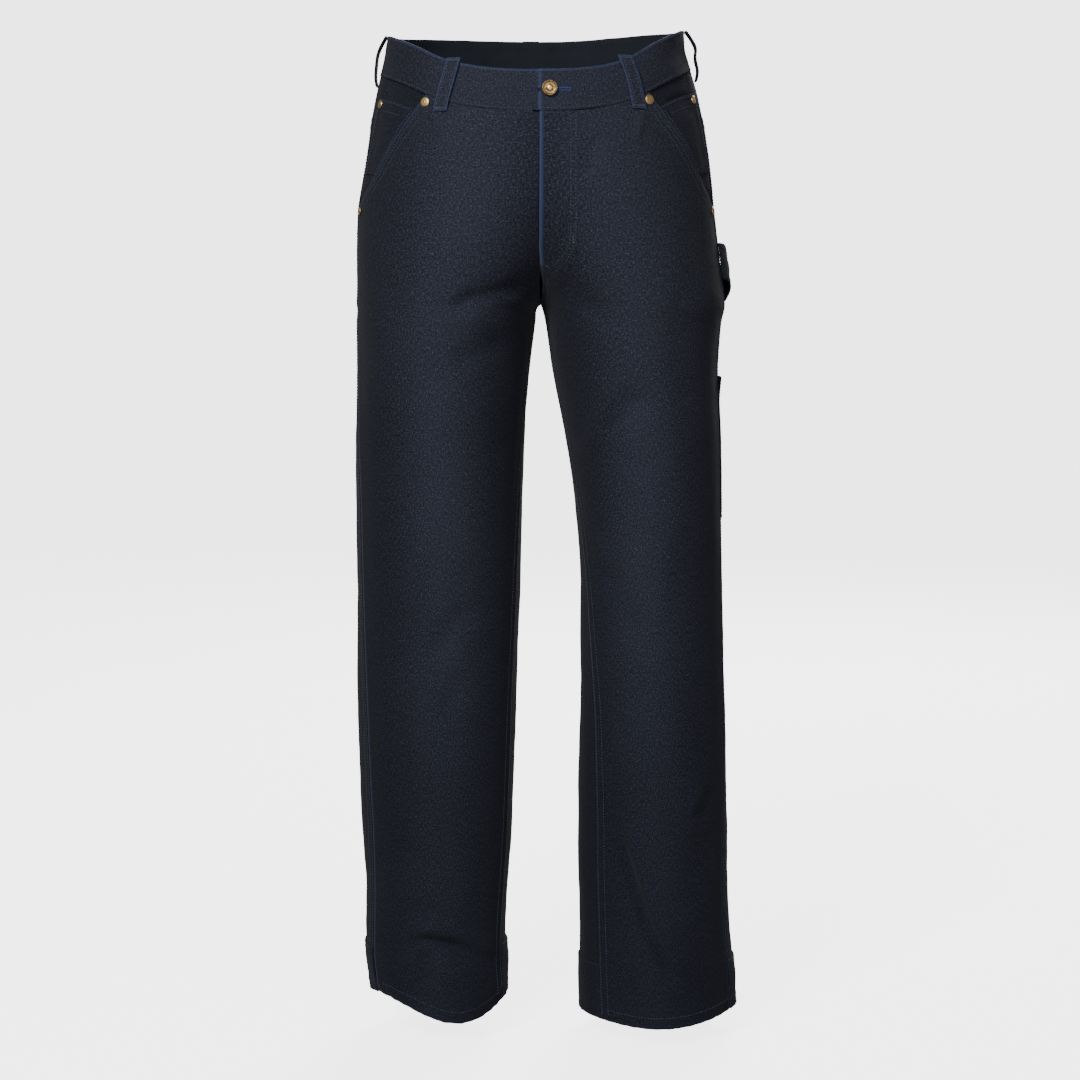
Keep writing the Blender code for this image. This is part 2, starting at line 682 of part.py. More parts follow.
def add_back_pocket(side, back):
    size = BACK_POCKET
    sign = side.sign
    middle = (size["inner"] + size["outer"]) / 2
    half = (size["outer"] - size["inner"]) / 2
    slope = Vector((half, 0, size["side_foot"] - size["point"])).normalized()
    corner = Vector((sign * middle, 0, size["point"]))
    planes = [
        (Vector((0, 0, 0)), Vector((0, -1, 0))),
        (Vector((0, 0, size["top"])), Vector((0, 0, 1))),
        (Vector((sign * size["inner"], 0, 0)), Vector((-sign, 0, 0))),
        (Vector((sign * size["outer"], 0, 0)), Vector((sign, 0, 0))),
        (corner, Vector((slope.z, 0, -slope.x))),
        (corner, Vector((-slope.z, 0, -slope.x))),
    ]
    patch = cut_patch(back.patch(), planes)
    shell("back_pocket_" + side.word, patch, LAY_GAP, LAY_GAP + POCKET_WALL, "denim")


def add_heel_patch(side, back):
    planes = [(Vector((0, 0, HEEL_TOP[side.sign])), Vector((0, 0, 1)))]
    patch = cut_patch(back.patch(), planes)
    shell("heel_patch_" + side.word, patch, LAY_GAP, LAY_GAP + HEEL_WALL, "denim_double")


def wedge_plane(side, angle, z, before):
    """An upright plane through the leg's axis at this angle. It cuts off what lies before it."""
    middle = side.sign * (side.outer(z) + side.inner(z)) / 2
    axis = Vector((middle, 0, z))
    radial = side.plain(angle, z) - axis
    onward = Vector((radial.y, -radial.x, 0)).normalized() * side.sign
    turn = side.plain(angle + 1, z) - side.plain(angle, z)
    if onward.dot(turn) < 0:
        onward = -onward
    return axis, -onward if before else onward


def add_tool_pocket(side, back):
    """The long pocket behind the left outseam. Its mouth stands off the leg a little."""
    size = TOOL_POCKET
    middle = (size["top"] + size["foot"]) / 2
    planes = [
        (Vector((0, 0, size["top"])), Vector((0, 0, 1))),
        (Vector((0, 0, size["foot"])), Vector((0, 0, -1))),
        (Vector((side.sign * side.inner(middle) + 0.06, 0, 0)), Vector((-side.sign, 0, 0))),
        wedge_plane(side, size["front"], middle, True),
        wedge_plane(side, size["back"], middle, False),
    ]
    patch = cut_patch(back.patch(), planes)
    below = size["top"] - TOOL_MOUTH_HEIGHT
    near = []
    for point in patch[0]:
        open_share = ease((point.z - below) / TOOL_MOUTH_HEIGHT)
        near.append(LAY_GAP + TOOL_MOUTH_STAND * open_share)
    far = [lift + POCKET_WALL for lift in near]
    shell("tool_pocket", patch, near, far, "denim")


def add_hammer_loop(side):
    """A wide strap from the outseam down to the back, held off the leg so that a handle fits."""
    size = HAMMER_STRAP
    path, across, near = [], [], []
    for k in range(HAMMER_STATIONS):
        t = k / (HAMMER_STATIONS - 1)
        angle = mix(size["front"], size["back"], t)
        z = mix(size["front_z"], size["back_z"], ease(t))
        spot, normal = side.plain(angle, z), side.plain_normal(angle, z)
        up = side.plain(angle, z + 0.01) - side.plain(angle, z - 0.01)
        path.append((spot, normal))
        across.append(up)
        near.append(LAY_GAP + 0.0004 + HAMMER_STAND * math.sin(math.pi * t) ** 0.8)
    strip("hammer_loop", path, across, HAMMER_WIDTH, near, DOUBLE_DENIM, "denim_double")


def add_button(side):
    x, z = BUTTON_AT
    angle = side.angle_at_x(x, z, "front")
    normal = side.plain_normal(angle, z)
    seat = BAND_PROUD + LAP_STEP + LAY_GAP
    place = side.plain(angle, z) + normal * seat
    turned("waist_button", BUTTON_PROFILE, BUTTON_SIDES, place, normal, "antique_brass")


def add_rivet(name, side, angle, z, radius, face):
    """A low domed rivet seated on a face that lies this far from the side's surface."""
    profile = (
        (radius, 0.0),
        (radius, 0.35 * RIVET_HEIGHT),
        (0.8 * radius, 0.8 * RIVET_HEIGHT),
        (0.42 * radius, RIVET_HEIGHT),
    )
    normal = side.plain_normal(angle, z)
    place = side.plain(angle, z) + normal * (face + RIVET_SEAT)
    turned(name, profile, RIVET_SIDES, place, normal, "brass")


def add_rivets(side):
    word = side.word
    seam = side.waist_seam(slash_angle(SEAM_TOP_Z))
    z = seam - TOP_RIVET_DROP
    add_rivet("rivet_slash_top_" + word, side, slash_angle(z) - TOP_RIVET_BACK, z, RIVET_RADIUS, 0)
    z = POCKET_FOOT_Z - FOOT_RIVET_DROP
    angle = side.outseam(z) - FOOT_RIVET_BACK
    add_rivet("rivet_slash_foot_" + word, side, angle, z, SMALL_RIVET_RADIUS, 0)
    nominal = FACING_ROWS[COIN_ROWS[0]]
    angle = facing_angle(side, nominal, COIN_COLUMNS[1]) - COIN_RIVET_BACK
    z = side.row_height(angle, nominal, (SEAM_TOP_Z, side.waist_seam)) - COIN_RIVET_DROP
    face = POCKET_WALL + LAY_GAP - FACING_DEPTH
    add_rivet("rivet_coin_" + word, side, angle, z, SMALL_RIVET_RADIUS, face)


def main():
    clear_scene()
    sides = {sign: Side(sign) for sign in (RIGHT, LEFT)}
    for sign, side in sides.items():
        back = add_fronts_and_backs(side)
        add_facing(side)
        add_back_pocket(side, back)
        add_heel_patch(side, back)
        add_belt_loop(
            "belt_loop_front_" + side.word, side, FRONT_LOOP_ANGLE[sign], LOOP_WIDTH, FLAT_LOOP_BULGE
        )
        add_belt_loop(
            "belt_loop_side_" + side.word,
            side,
            SIDE_LOOP_ANGLE,
            LOOP_WIDTH,
            SIDE_LOOP_BULGE[sign],
        )
        add_rivets(side)
        if sign == LEFT:
            add_tool_pocket(side, back)
            add_hammer_loop(side)
    add_belt_loop(
        "belt_loop_back", sides[RIGHT], 268.0, BACK_LOOP_WIDTH, FLAT_LOOP_BULGE, shift=BACK_LOOP_X
    )
    add_waistband(sides)
    add_button(sides[LEFT])


main()
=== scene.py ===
import math

import bmesh
import bpy
import numpy as np
from mathutils import Matrix, Vector, noise
from mathutils.bvhtree import BVHTree


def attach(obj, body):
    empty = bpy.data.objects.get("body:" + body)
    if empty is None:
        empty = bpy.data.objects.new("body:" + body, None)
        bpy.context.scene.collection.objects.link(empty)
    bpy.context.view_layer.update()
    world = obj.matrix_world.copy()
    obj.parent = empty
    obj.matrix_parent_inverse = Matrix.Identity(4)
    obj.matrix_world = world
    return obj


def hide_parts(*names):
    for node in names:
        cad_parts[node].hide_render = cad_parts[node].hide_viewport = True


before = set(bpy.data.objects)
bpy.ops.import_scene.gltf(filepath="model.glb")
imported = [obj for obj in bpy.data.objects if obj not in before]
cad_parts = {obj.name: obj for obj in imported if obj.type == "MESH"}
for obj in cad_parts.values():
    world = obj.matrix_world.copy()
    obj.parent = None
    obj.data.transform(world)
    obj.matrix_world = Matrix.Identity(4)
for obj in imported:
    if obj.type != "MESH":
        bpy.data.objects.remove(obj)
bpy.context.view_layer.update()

right, left = -1, 1        # the wearer's right is at the left of the photograph
print("frame loaded")


# Finishes

class Value:        # one socket, so that maths on it adds its own nodes
    def __init__(self, paint, socket):
        self.paint = paint
        self.socket = socket

    def maths(self, operation, first, second):
        return self.paint.node("ShaderNodeMath", {"operation": operation}, {0: first, 1: second})

    def __add__(self, other):
        return self.maths("ADD", self, other)

    def __sub__(self, other):
        return self.maths("SUBTRACT", self, other)

    def __rsub__(self, other):
        return self.maths("SUBTRACT", other, self)

    def __mul__(self, other):
        return self.maths("MULTIPLY", self, other)

    __radd__ = __add__
    __rmul__ = __mul__


class Paint:        # a material and the nodes in it
    def __init__(self, name):
        self.material = bpy.data.materials.new(name)
        self.material.use_nodes = True
        self.tree = self.material.node_tree
        self.tree.nodes.clear()
        self.output = self.tree.nodes.new("ShaderNodeOutputMaterial")

    def node(self, kind, settings=None, values=None, out=0):
        node = self.tree.nodes.new(kind)
        for name, setting in (settings or {}).items():
            if name == "stops":
                while len(node.color_ramp.elements) < len(setting):
                    node.color_ramp.elements.new(0.5)
                for element, (place, shade) in zip(node.color_ramp.elements, setting):
                    element.position = place
                    element.color = (shade, shade, shade, 1)
            else:
                setattr(node, name, setting)
        for key, value in (values or {}).items():
            if isinstance(value, Value):
                self.tree.links.new(value.socket, node.inputs[key])
            else:
                node.inputs[key].default_value = value
        return Value(self, node.outputs[out])

    def noise(self, vector, scale, detail=2, rough=0.5):
        values = {"Vector": vector, "Scale": scale, "Detail": detail, "Roughness": rough}
        return self.node("ShaderNodeTexNoise", None, values)

    def twill(self, cloth, scale, uneven, detail=2):        # the diagonal rib of the weave
        values = {"Vector": cloth, "Scale": scale, "Distortion": uneven, "Detail": detail}
        return self.node("ShaderNodeTexWave", {"bands_direction": "DIAGONAL"}, values)

    def mix(self, amount, first, second):
        first, second = (x if isinstance(x, Value) else (*x, 1) for x in (first, second))
        return self.node("ShaderNodeMix", {"data_type": "RGBA"}, {0: amount, 6: first, 7: second}, 2)

    def finish(self, colour, rough, bump=None, **settings):
        values = {"Base Color": colour if isinstance(colour, Value) else (*colour, 1), "Roughness": rough}
        values.update({name.replace("_", " "): value for name, value in settings.items()})
        if bump:
            height, strength, distance = bump
            relief = {"Strength": strength, "Distance": distance, "Height": height}
            values["Normal"] = self.node("ShaderNodeBump", None, relief)
        shader = self.node("ShaderNodeBsdfPrincipled", None, values)
        self.tree.links.new(shader.socket, self.output.inputs["Surface"])
        return self.material


denimLook = {
    "deep": (0.0030, 0.0036, 0.0098),        # dye that has not been rubbed
    "rubbedAndLit": (0.0205, 0.0232, 0.0370),      # where the middle of a leg has greyed, with painted light where the cloth faces the lamps
    "fleck": (0.120, 0.132, 0.175),          # weft that shows between the warp yarns
    "edge": (0.050, 0.085, 0.210),           # bright blue on rubbed folded edges
    "reverse": (0.0155, 0.0185, 0.0250),     # the inside of the cloth
    "fleckStops": ((0.54, 0), (0.74, 1)),
    "rough": 0.88,
    "twill": 0.444 / 0.0011,        # a rib every 1.1 mm
    "yarn": (1150, 210, 1),         # slubs run along the warp
    "grain": 620,
    "cloud": 11,
    "fadeAndLightTone": 0.86,               # how much each of these lightens the dye; the first also carries painted light on cloth that faces the lamps
    "cloudTone": 0.42,
    "grainTone": 3.6,
    "slubTone": 1.7,
    "twillTone": 0.10,
    "baseTone": 0.06,
}


def denim(name, rubbedAndLit=1.0, turned=0):
    look = denimLook
    paint = Paint(name)
    cloth = paint.node("ShaderNodeUVMap", {"uv_map": "cloth"})
    place = paint.node("ShaderNodeTexCoord", out="Object")
    # the fade attribute holds real fade of the dye together with painted light on cloth that faces the lamps
    fade = paint.node("ShaderNodeAttribute", {"attribute_name": "fade"}, out="Fac")
    worn = paint.node("ShaderNodeAttribute", {"attribute_name": "worn"}, out="Fac")
    turn = (0, 0, math.radians(turned))
    yarn = paint.node("ShaderNodeMapping", None, {"Vector": cloth, "Rotation": turn, "Scale": look["yarn"]})
    slub = paint.noise(yarn, 1, 2, 0.6)
    grain = paint.noise(cloth, look["grain"], 3, 0.72)
    twill = paint.twill(cloth, look["twill"], 0.6, 1)
    cloud = paint.noise(place, look["cloud"], 4, 0.6)
    tone = fade * (look["fadeAndLightTone"] * rubbedAndLit) + (cloud - 0.5) * look["cloudTone"]
    tone = tone + (grain - 0.5) * look["grainTone"] + (slub - 0.5) * look["slubTone"]
    tone = tone + (twill - 0.5) * look["twillTone"] + look["baseTone"]
    dyed = paint.mix(tone, look["deep"], look["rubbedAndLit"])
    speckle = grain * 0.72 + slub * 0.28
    flecks = paint.node("ShaderNodeValToRGB", {"stops": look["fleckStops"]}, {"Fac": speckle})
    flecked = paint.mix(flecks * (fade * 0.72 + 0.06), dyed, look["fleck"])
    rubbedEdge = paint.mix(worn * (grain * 0.9 + 0.42), flecked, look["edge"])
    surface = twill * 0.5 + grain * 0.35 + slub * 0.4
    return paint.finish(
        rubbedEdge, look["rough"], (surface, 0.34, 0.0004),
        Specular_IOR_Level=0.16, Sheen_Weight=0.05, Sheen_Roughness=0.6,
    )


def scaled(colour, amount):
    return tuple(amount * part for part in colour)


def reverseDenim(name):
    look = denimLook
    paint = Paint(name)
    cloth = paint.node("ShaderNodeUVMap", {"uv_map": "cloth"})
    grain = paint.noise(cloth, 700, 3, 0.7)
    cloud = paint.noise(cloth, 14, 3)
    twill = paint.twill(cloth, -look["twill"], 0.5)
    tone = (grain - 0.5) * 1.5 + (cloud - 0.5) * 0.5 + twill * 0.16 + 0.42
    colour = paint.mix(tone, scaled(look["reverse"], 0.55), scaled(look["reverse"], 1.5))
    return paint.finish(colour, 0.9, (twill * 0.5 + grain * 0.5, 0.3, 0.0004), Specular_IOR_Level=0.16)


def threadPaint(name, shade):
    paint = Paint(name)
    place = paint.node("ShaderNodeTexCoord", out="Object")
    ply = paint.noise(place, 900)
    patchy = paint.noise(place, 60)
    colour = paint.mix(ply * 0.7 + (patchy - 0.5) * 0.9 + 0.15, scaled(shade, 0.6), scaled(shade, 1.35))
    return paint.finish(colour, 0.75, (ply, 0.4, 0.0002), Specular_IOR_Level=0.25)


def metalPaint(name, bright, dull, rough):
    paint = Paint(name)
    place = paint.node("ShaderNodeTexCoord", out="Object")
    cloud = paint.noise(place, 260, 4, 0.65)
    drawn = {"Vector": place, "Rotation": (0.2, 0.6, 0.4), "Scale": (2400, 300, 2400)}
    hair = paint.noise(paint.node("ShaderNodeMapping", None, drawn), 1)
    tarnish = paint.node("ShaderNodeValToRGB", {"stops": ((0.38, 0), (0.66, 1))}, {"Fac": cloud})
    colour = paint.mix(tarnish, bright, dull)
    return paint.finish(colour, tarnish * 0.16 + hair * 0.14 + rough, (hair, 0.12, 0.00008), Metallic=1.0)


denimPaint = denim("denim")
bandPaint = denim("denimBand", turned=90)        # cut along the roll, so its yarns run round the waist
facingPaint = denim("denimFacing", rubbedAndLit=0.5)
reversePaint = reverseDenim("denimReverse")
tonalThread = threadPaint("tonalThread", (0.026, 0.031, 0.047))
paleThread = threadPaint("paleThread", (0.062, 0.073, 0.102))
blueThread = threadPaint("blueThread", (0.045, 0.062, 0.230))
whiteThread = threadPaint("whiteThread", (0.50, 0.50, 0.50))
brassPaint = metalPaint("brass", (0.83, 0.58, 0.25), (0.46, 0.30, 0.13), 0.24)
antiquePaint = metalPaint("antiqueBrass", (0.42, 0.30, 0.15), (0.15, 0.10, 0.05), 0.28)
print("finishes ready")


# Cloth

def axisPoint(point, middle=False):        # a point inside the leg, or inside the waist, level with this one
    x, _, z = point
    drop = min(1, max(0, (-z - 0.28) / 0.34))
    if middle:
        return Vector((0, 0.01, z))
    aside = 0.104 + (0.010 if x < 0 else 0.024) * drop
    return Vector((math.copysign(aside, x), 0.020 - 0.010 * drop, z))


def outerSkin(name, middle=False):
    bm = bmesh.new()
    bm.from_mesh(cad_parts[name].data)
    # fade holds real fade and painted light; worn holds rubbed edges
    bm.verts.layers.float.new("fade")
    bm.verts.layers.float.new("worn")
    bm.loops.layers.uv.new("cloth")
    bmesh.ops.remove_doubles(bm, verts=bm.verts, dist=1e-5)
    bmesh.ops.split_edges(bm, edges=[edge for edge in bm.edges if edge.calc_face_angle(0) > math.radians(48)])
    islands, seen = [], set()
    for face in bm.faces:
        if face in seen:
            continue
        seen.add(face)
        island, waiting = [], [face]
        while waiting:
            here = waiting.pop()
            island.append(here)
            for edge in here.edges:
                for other in edge.link_faces:
                    if other not in seen:
                        seen.add(other)
                        waiting.append(other)
        islands.append(island)

    def outwardArea(island):
        total = 0
        for face in island:
            centre = face.calc_center_median()
            total += face.calc_area() * face.normal.dot((centre - axisPoint(centre, middle)).normalized())
        return total

    skin = set(max(islands, key=outwardArea))
    bmesh.ops.delete(bm, geom=[face for face in bm.faces if face not in skin], context="FACES")
    bmesh.ops.join_triangles(
        bm, faces=bm.faces, angle_face_threshold=math.radians(45), angle_shape_threshold=math.radians(70)
    )
    return bm


def refine(bm, cuts, soften=3):        # finer faces that follow the curve of the coarse ones
    bmesh.ops.subdivide_edges(
        bm, edges=bm.edges, cuts=cuts, use_grid_fill=True, smooth=1.0, smooth_falloff="LINEAR"
    )
    inner = [vert for vert in bm.verts if not vert.is_boundary]
    for _ in range(soften):
        bmesh.ops.smooth_vert(bm, verts=inner, factor=0.5, use_axis_x=True, use_axis_y=True, use_axis_z=True)
    bm.normal_update()


def fineSkin(name, middle=False, soften=2):
    bm = outerSkin(name, middle)
    refine(bm, 3)
    refine(bm, 1, soften)
    return bm


def addObject(name, data):
    thing = bpy.data.objects.new(name, data)
    bpy.context.scene.collection.objects.link(thing)
    return thing


def treeOf(bm):
    bm.normal_update()
    return BVHTree.FromBMesh(bm)


def points(bm):
    return np.array([vert.co[:] for vert in bm.verts]), np.array([vert.normal[:] for vert in bm.verts])


def moveOut(bm, heights):
    bm.normal_update()
    moved = [vert.co + vert.normal * float(height) for vert, height in zip(bm.verts, heights)]
    for vert, place in zip(bm.verts, moved):
        vert.co = place
    bm.normal_update()


def peak(distance, width):        # 1 at no distance, falling softly to none
    return np.exp(-((distance / width) ** 2))


def alongLine(places, line):        # distance to a line, signed by its side, and share of the line passed
    best = np.full(len(places), 1e9)
    signed, share = np.zeros(len(places)), np.zeros(len(places))
    line = np.array(line, float)
    spans = np.linalg.norm(np.diff(line, axis=0), axis=1)
    total, start = spans.sum(), 0.0
    for first, last, span in zip(line[:-1], line[1:], spans):
        way = (last - first) / span
        part = np.clip((places - first) @ way, 0, span)
        off = places - first - part[:, None] * way
        distance = np.linalg.norm(off, axis=1)
        near = distance < best
        best[near] = distance[near]
        signed[near] = (distance * np.sign(way[0] * off[:, 1] - way[1] * off[:, 0]))[near]
        share[near] = ((start + part) / total)[near]
        start += span
    return signed, share


def creaseHeights(places, creases):
    heights = np.zeros(len(places))
    for line, width, height, lean in creases:
        signed, share = alongLine(places, line)
        taper = np.clip(np.minimum(share, 1 - share) * 5, 0, 1)
        taper = taper * taper * (3 - 2 * taper)
        heights += height * taper * (peak(signed, width) - lean * peak(signed - 2.1 * width, 1.5 * width))
    return heights


def fromPath(places, route):        # distance from each place to a route, and the length of route before it
    best, reach = np.full(len(places), 1e9), np.zeros(len(places))
    path = np.array([vert.co[:] for vert in route])
    start = 0.0
    for first, last in zip(path[:-1], path[1:]):
        span = np.linalg.norm(last - first)
        if span < 1e-7:
            continue
        way = (last - first) / span
        part = np.clip((places - first) @ way, 0, span)
        distance = np.linalg.norm(places - first - part[:, None] * way, axis=1)
        near = distance < best
        best[near] = distance[near]
        reach[near] = start + part[near]
        start += span
    return best, reach


def besideEach(bm):        # the two neighbours of each vert along the edge of the cloth
    beside = {}
    for edge in bm.edges:
        if edge.is_boundary:
            for vert in edge.verts:
                beside.setdefault(vert, []).append(edge.other_vert(vert))
    return beside


def toBorder(bm, places):        # distance from each place to the edge of the cloth
    edges = np.array([vert.co[:] for vert in bm.verts if vert.is_boundary])
    return np.array([np.min(np.linalg.norm(edges - place, axis=1)) for place in places])


def wayIn(vert):        # from the edge of the cloth to the faces beside it
    centres = [face.calc_center_median() for face in vert.link_faces]
    return sum(centres, Vector()) / len(centres) - vert.co


def border(bm, start, end, via):        # the edge of the cloth from start to end, the way that passes via
    beside = besideEach(bm)

    def nearest(place):
        return min(beside, key=lambda vert: (vert.co - Vector(place)).length)

    first, last = nearest(start), nearest(end)
    routes = []
    for step in beside[first]:
        route = [first, step]
        while route[-1] is not last and len(route) < len(beside):
            ahead = [vert for vert in beside[route[-1]] if vert is not route[-2]]
            route.append(ahead[0])
        routes.append(route)
    middle = Vector(via)
    return min(routes, key=lambda route: min((vert.co - middle).length for vert in route))


def spread(bm, reach, only=None):        # lets the edge run on a little, so that no light shows through a seam
    moves = {}
    for vert in bm.verts:
        if not vert.is_boundary or (only and not only(vert.co)):
            continue
        edges = [edge for edge in vert.link_edges if edge.is_boundary]
        if len(edges) != 2:
            continue
        along = (edges[0].other_vert(vert).co - edges[1].other_vert(vert).co).normalized()
        inward = wayIn(vert)
        inward -= along * inward.dot(along) + vert.normal * inward.dot(vert.normal)
        moves[vert] = -inward.normalized() * reach
    for vert, move in moves.items():
        vert.co += move
    bm.normal_update()


def softStep(value, low, high):
    share = np.clip((value - low) / (high - low), 0, 1)
    return share * share * (3 - 2 * share)


def ripple(places, size, seed):        # soft noise from -1 to 1, with swells about this size
    return np.array([noise.noise(Vector(place) / size + Vector((seed, 0, 0))) for place in places])


clothLook = {
    "thickness": 0.0015,
    "creaseDepth": 1.55,
    "swell": 0.0011,           # slow unevenness of a hanging leg
    "swellSize": 0.085,
    "crumple": 0.00042,        # small unevenness of stiff new denim
    "crumpleSize": 0.021,
    "seamRise": 0.00055,       # the cloth doubled under a seam
    "seamWidth": 0.0105,
    "pucker": 0.00030,
    "puckerSize": 0.0085,
    "hemRise": 0.0007,
    "hemDepth": 0.0135,
    "roping": 0.00045,
    "ropingPitch": 0.0135,
}


def dressPanel(bm, creases, seams, hem=None, calm=1.0, seed=0.0):
    look = clothLook
    places, _ = points(bm)
    free = softStep(toBorder(bm, places), 0.001, 0.022)        # the edges stay where the neighbours are
    heights = creaseHeights(places[:, [0, 2]], creases) * free * look["creaseDepth"]
    swell = ripple(places, look["swellSize"], seed) * look["swell"]
    heights += (swell + ripple(places, look["crumpleSize"], seed + 7) * look["crumple"]) * free * calm
    for seam in seams:
        distance, _ = fromPath(places, seam)
        zone = 1 - softStep(distance, look["seamWidth"] - 0.002, look["seamWidth"] + 0.0025)
        heights += zone * look["seamRise"]
        near = peak(distance - look["seamWidth"], 0.006) * softStep(distance, 0.0, 0.004)
        heights += near * ripple(places, look["puckerSize"], seed + 3) * look["pucker"] * 1.6
    if hem:
        distance, reach = fromPath(places, hem)
        zone = 1 - softStep(distance, look["hemDepth"] - 0.002, look["hemDepth"] + 0.002)
        heights += zone * look["hemRise"]
        turns = 2 * math.pi * (reach + 0.8 * distance) / look["ropingPitch"]
        heights += zone * look["roping"] * np.sin(turns + 2 * ripple(places, 0.05, seed))
    moveOut(bm, heights)


def rubbingAndLight(places, normals, front=True):        # how far the dye has gone, most along the middle of each leg, with painted light on cloth that faces the lamps
    x, _, z = places.T
    below = softStep(-z, 0.10, 0.34)
    centre = np.where(x < 0, -0.106, 0.112) * below + np.where(x < 0, -0.070, 0.072) * (1 - below)
    centre += np.where(x < 0, -0.006, 0.014) * softStep(-z, 0.5, 0.95)
    width = 0.078 - 0.030 * softStep(-z, 0.15, 0.42)        # the pale band narrows below the hip
    # the band dims down the leg: real fade together with painted light from lamps set high in front
    along = 1.0 - 0.16 * softStep(-z, 0.50, 0.64) - 0.34 * softStep(-z, 0.66, 0.84)
    along -= 0.10 * softStep(-z, 0.92, 1.06)
    # painted light: cloth that turns square to the front, or for back pieces to the back, is made lighter
    facing = np.clip(-normals[:, 1] if front else normals[:, 1], 0, 1)
    return along * (0.10 + 0.90 * peak(x - centre, width)) * (0.25 + 0.75 * facing)


def cornerSides(bm, turn=38):        # the edges of a patch, from one corner to the next
    beside = besideEach(bm)
    first = next(iter(beside))
    loop = [first, beside[first][0]]
    while True:
        ahead = [vert for vert in beside[loop[-1]] if vert is not loop[-2]][0]
        if ahead is first:
            break
        loop.append(ahead)
    count = len(loop)

    def bend(index):
        here = loop[index].co
        return (here - loop[index - 2].co).angle(loop[(index + 2) % count].co - here, 0)

    corners = []
    for index in range(count):
        if bend(index) > math.radians(turn):
            if not corners or index - corners[-1] > 3:
                corners.append(index)
            else:
                corners[-1] = max((corners[-1], index), key=bend)
    sides = []
    for start, end in zip(corners, corners[1:] + [corners[0] + count]):
        side = [loop[place % count] for place in range(start, end + 1)]
        if len(side) > 2:
            sides.append(side)
    return sides


def routeLength(route):
    return sum((second.co - first.co).length for first, second in zip(route[:-1], route[1:]))


def middleHeight(route):
    return sum(vert.co.z for vert in route) / len(route)


skins = {}         # the outer face of each piece of cloth, for what is sewn on it


def writeCloth(bm, middle=False, front=True, fade=None, worn=None):
    bm.normal_update()
    places, normals = points(bm)
    # fade: real fade and painted light, from the rubbing mask unless a level is given
    if fade is None:
        fade = rubbingAndLight(places, normals, front)
    elif np.isscalar(fade):
        fade = np.full(len(places), fade)
    worn = np.zeros(len(places)) if worn is None else worn
    fadeAndLightLayer, wornLayer = bm.verts.layers.float["fade"], bm.verts.layers.float["worn"]
    flat = []
    for index, vert in enumerate(bm.verts):
        vert[fadeAndLightLayer] = float(fade[index])
        vert[wornLayer] = float(worn[index])
        inside = axisPoint(vert.co, middle)
        across, deep = vert.co.x - inside.x, (vert.co.y - inside.y) * (-1 if front else 1)
        around = math.atan2(across, deep) * (0.150 if middle else 0.100)
        flat.append((around, vert.co.z))
        vert.index = index
    uv = bm.loops.layers.uv["cloth"]
    for face in bm.faces:
        for loop in face.loops:
            loop[uv].uv = flat[loop.vert.index]


def clothPiece(bm, name, paint, thickness=None, bevel=0.0):
    for face in bm.faces:
        face.smooth = True
    skins[name] = (bm, treeOf(bm))
    mesh = bpy.data.meshes.new("cloth_" + name)
    bm.to_mesh(mesh)
    piece = addObject("cloth_" + name, mesh)
    mesh.materials.append(paint)
    mesh.materials.append(reversePaint)
    wall = piece.modifiers.new("wall", "SOLIDIFY")
    wall.thickness = thickness or clothLook["thickness"]
    wall.offset = -1
    wall.use_even_offset = False
    wall.material_offset = 1
    wall.material_offset_rim = 0
    if bevel:
        soft = piece.modifiers.new("fold", "BEVEL")
        soft.width = bevel
        soft.segments = 2
        soft.limit_method = "ANGLE"
        soft.angle_limit = math.radians(60)
    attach(piece, "root")
    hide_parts(name)
    sum(face.calc_area() for face in bm.faces)
    return piece


# Front panels

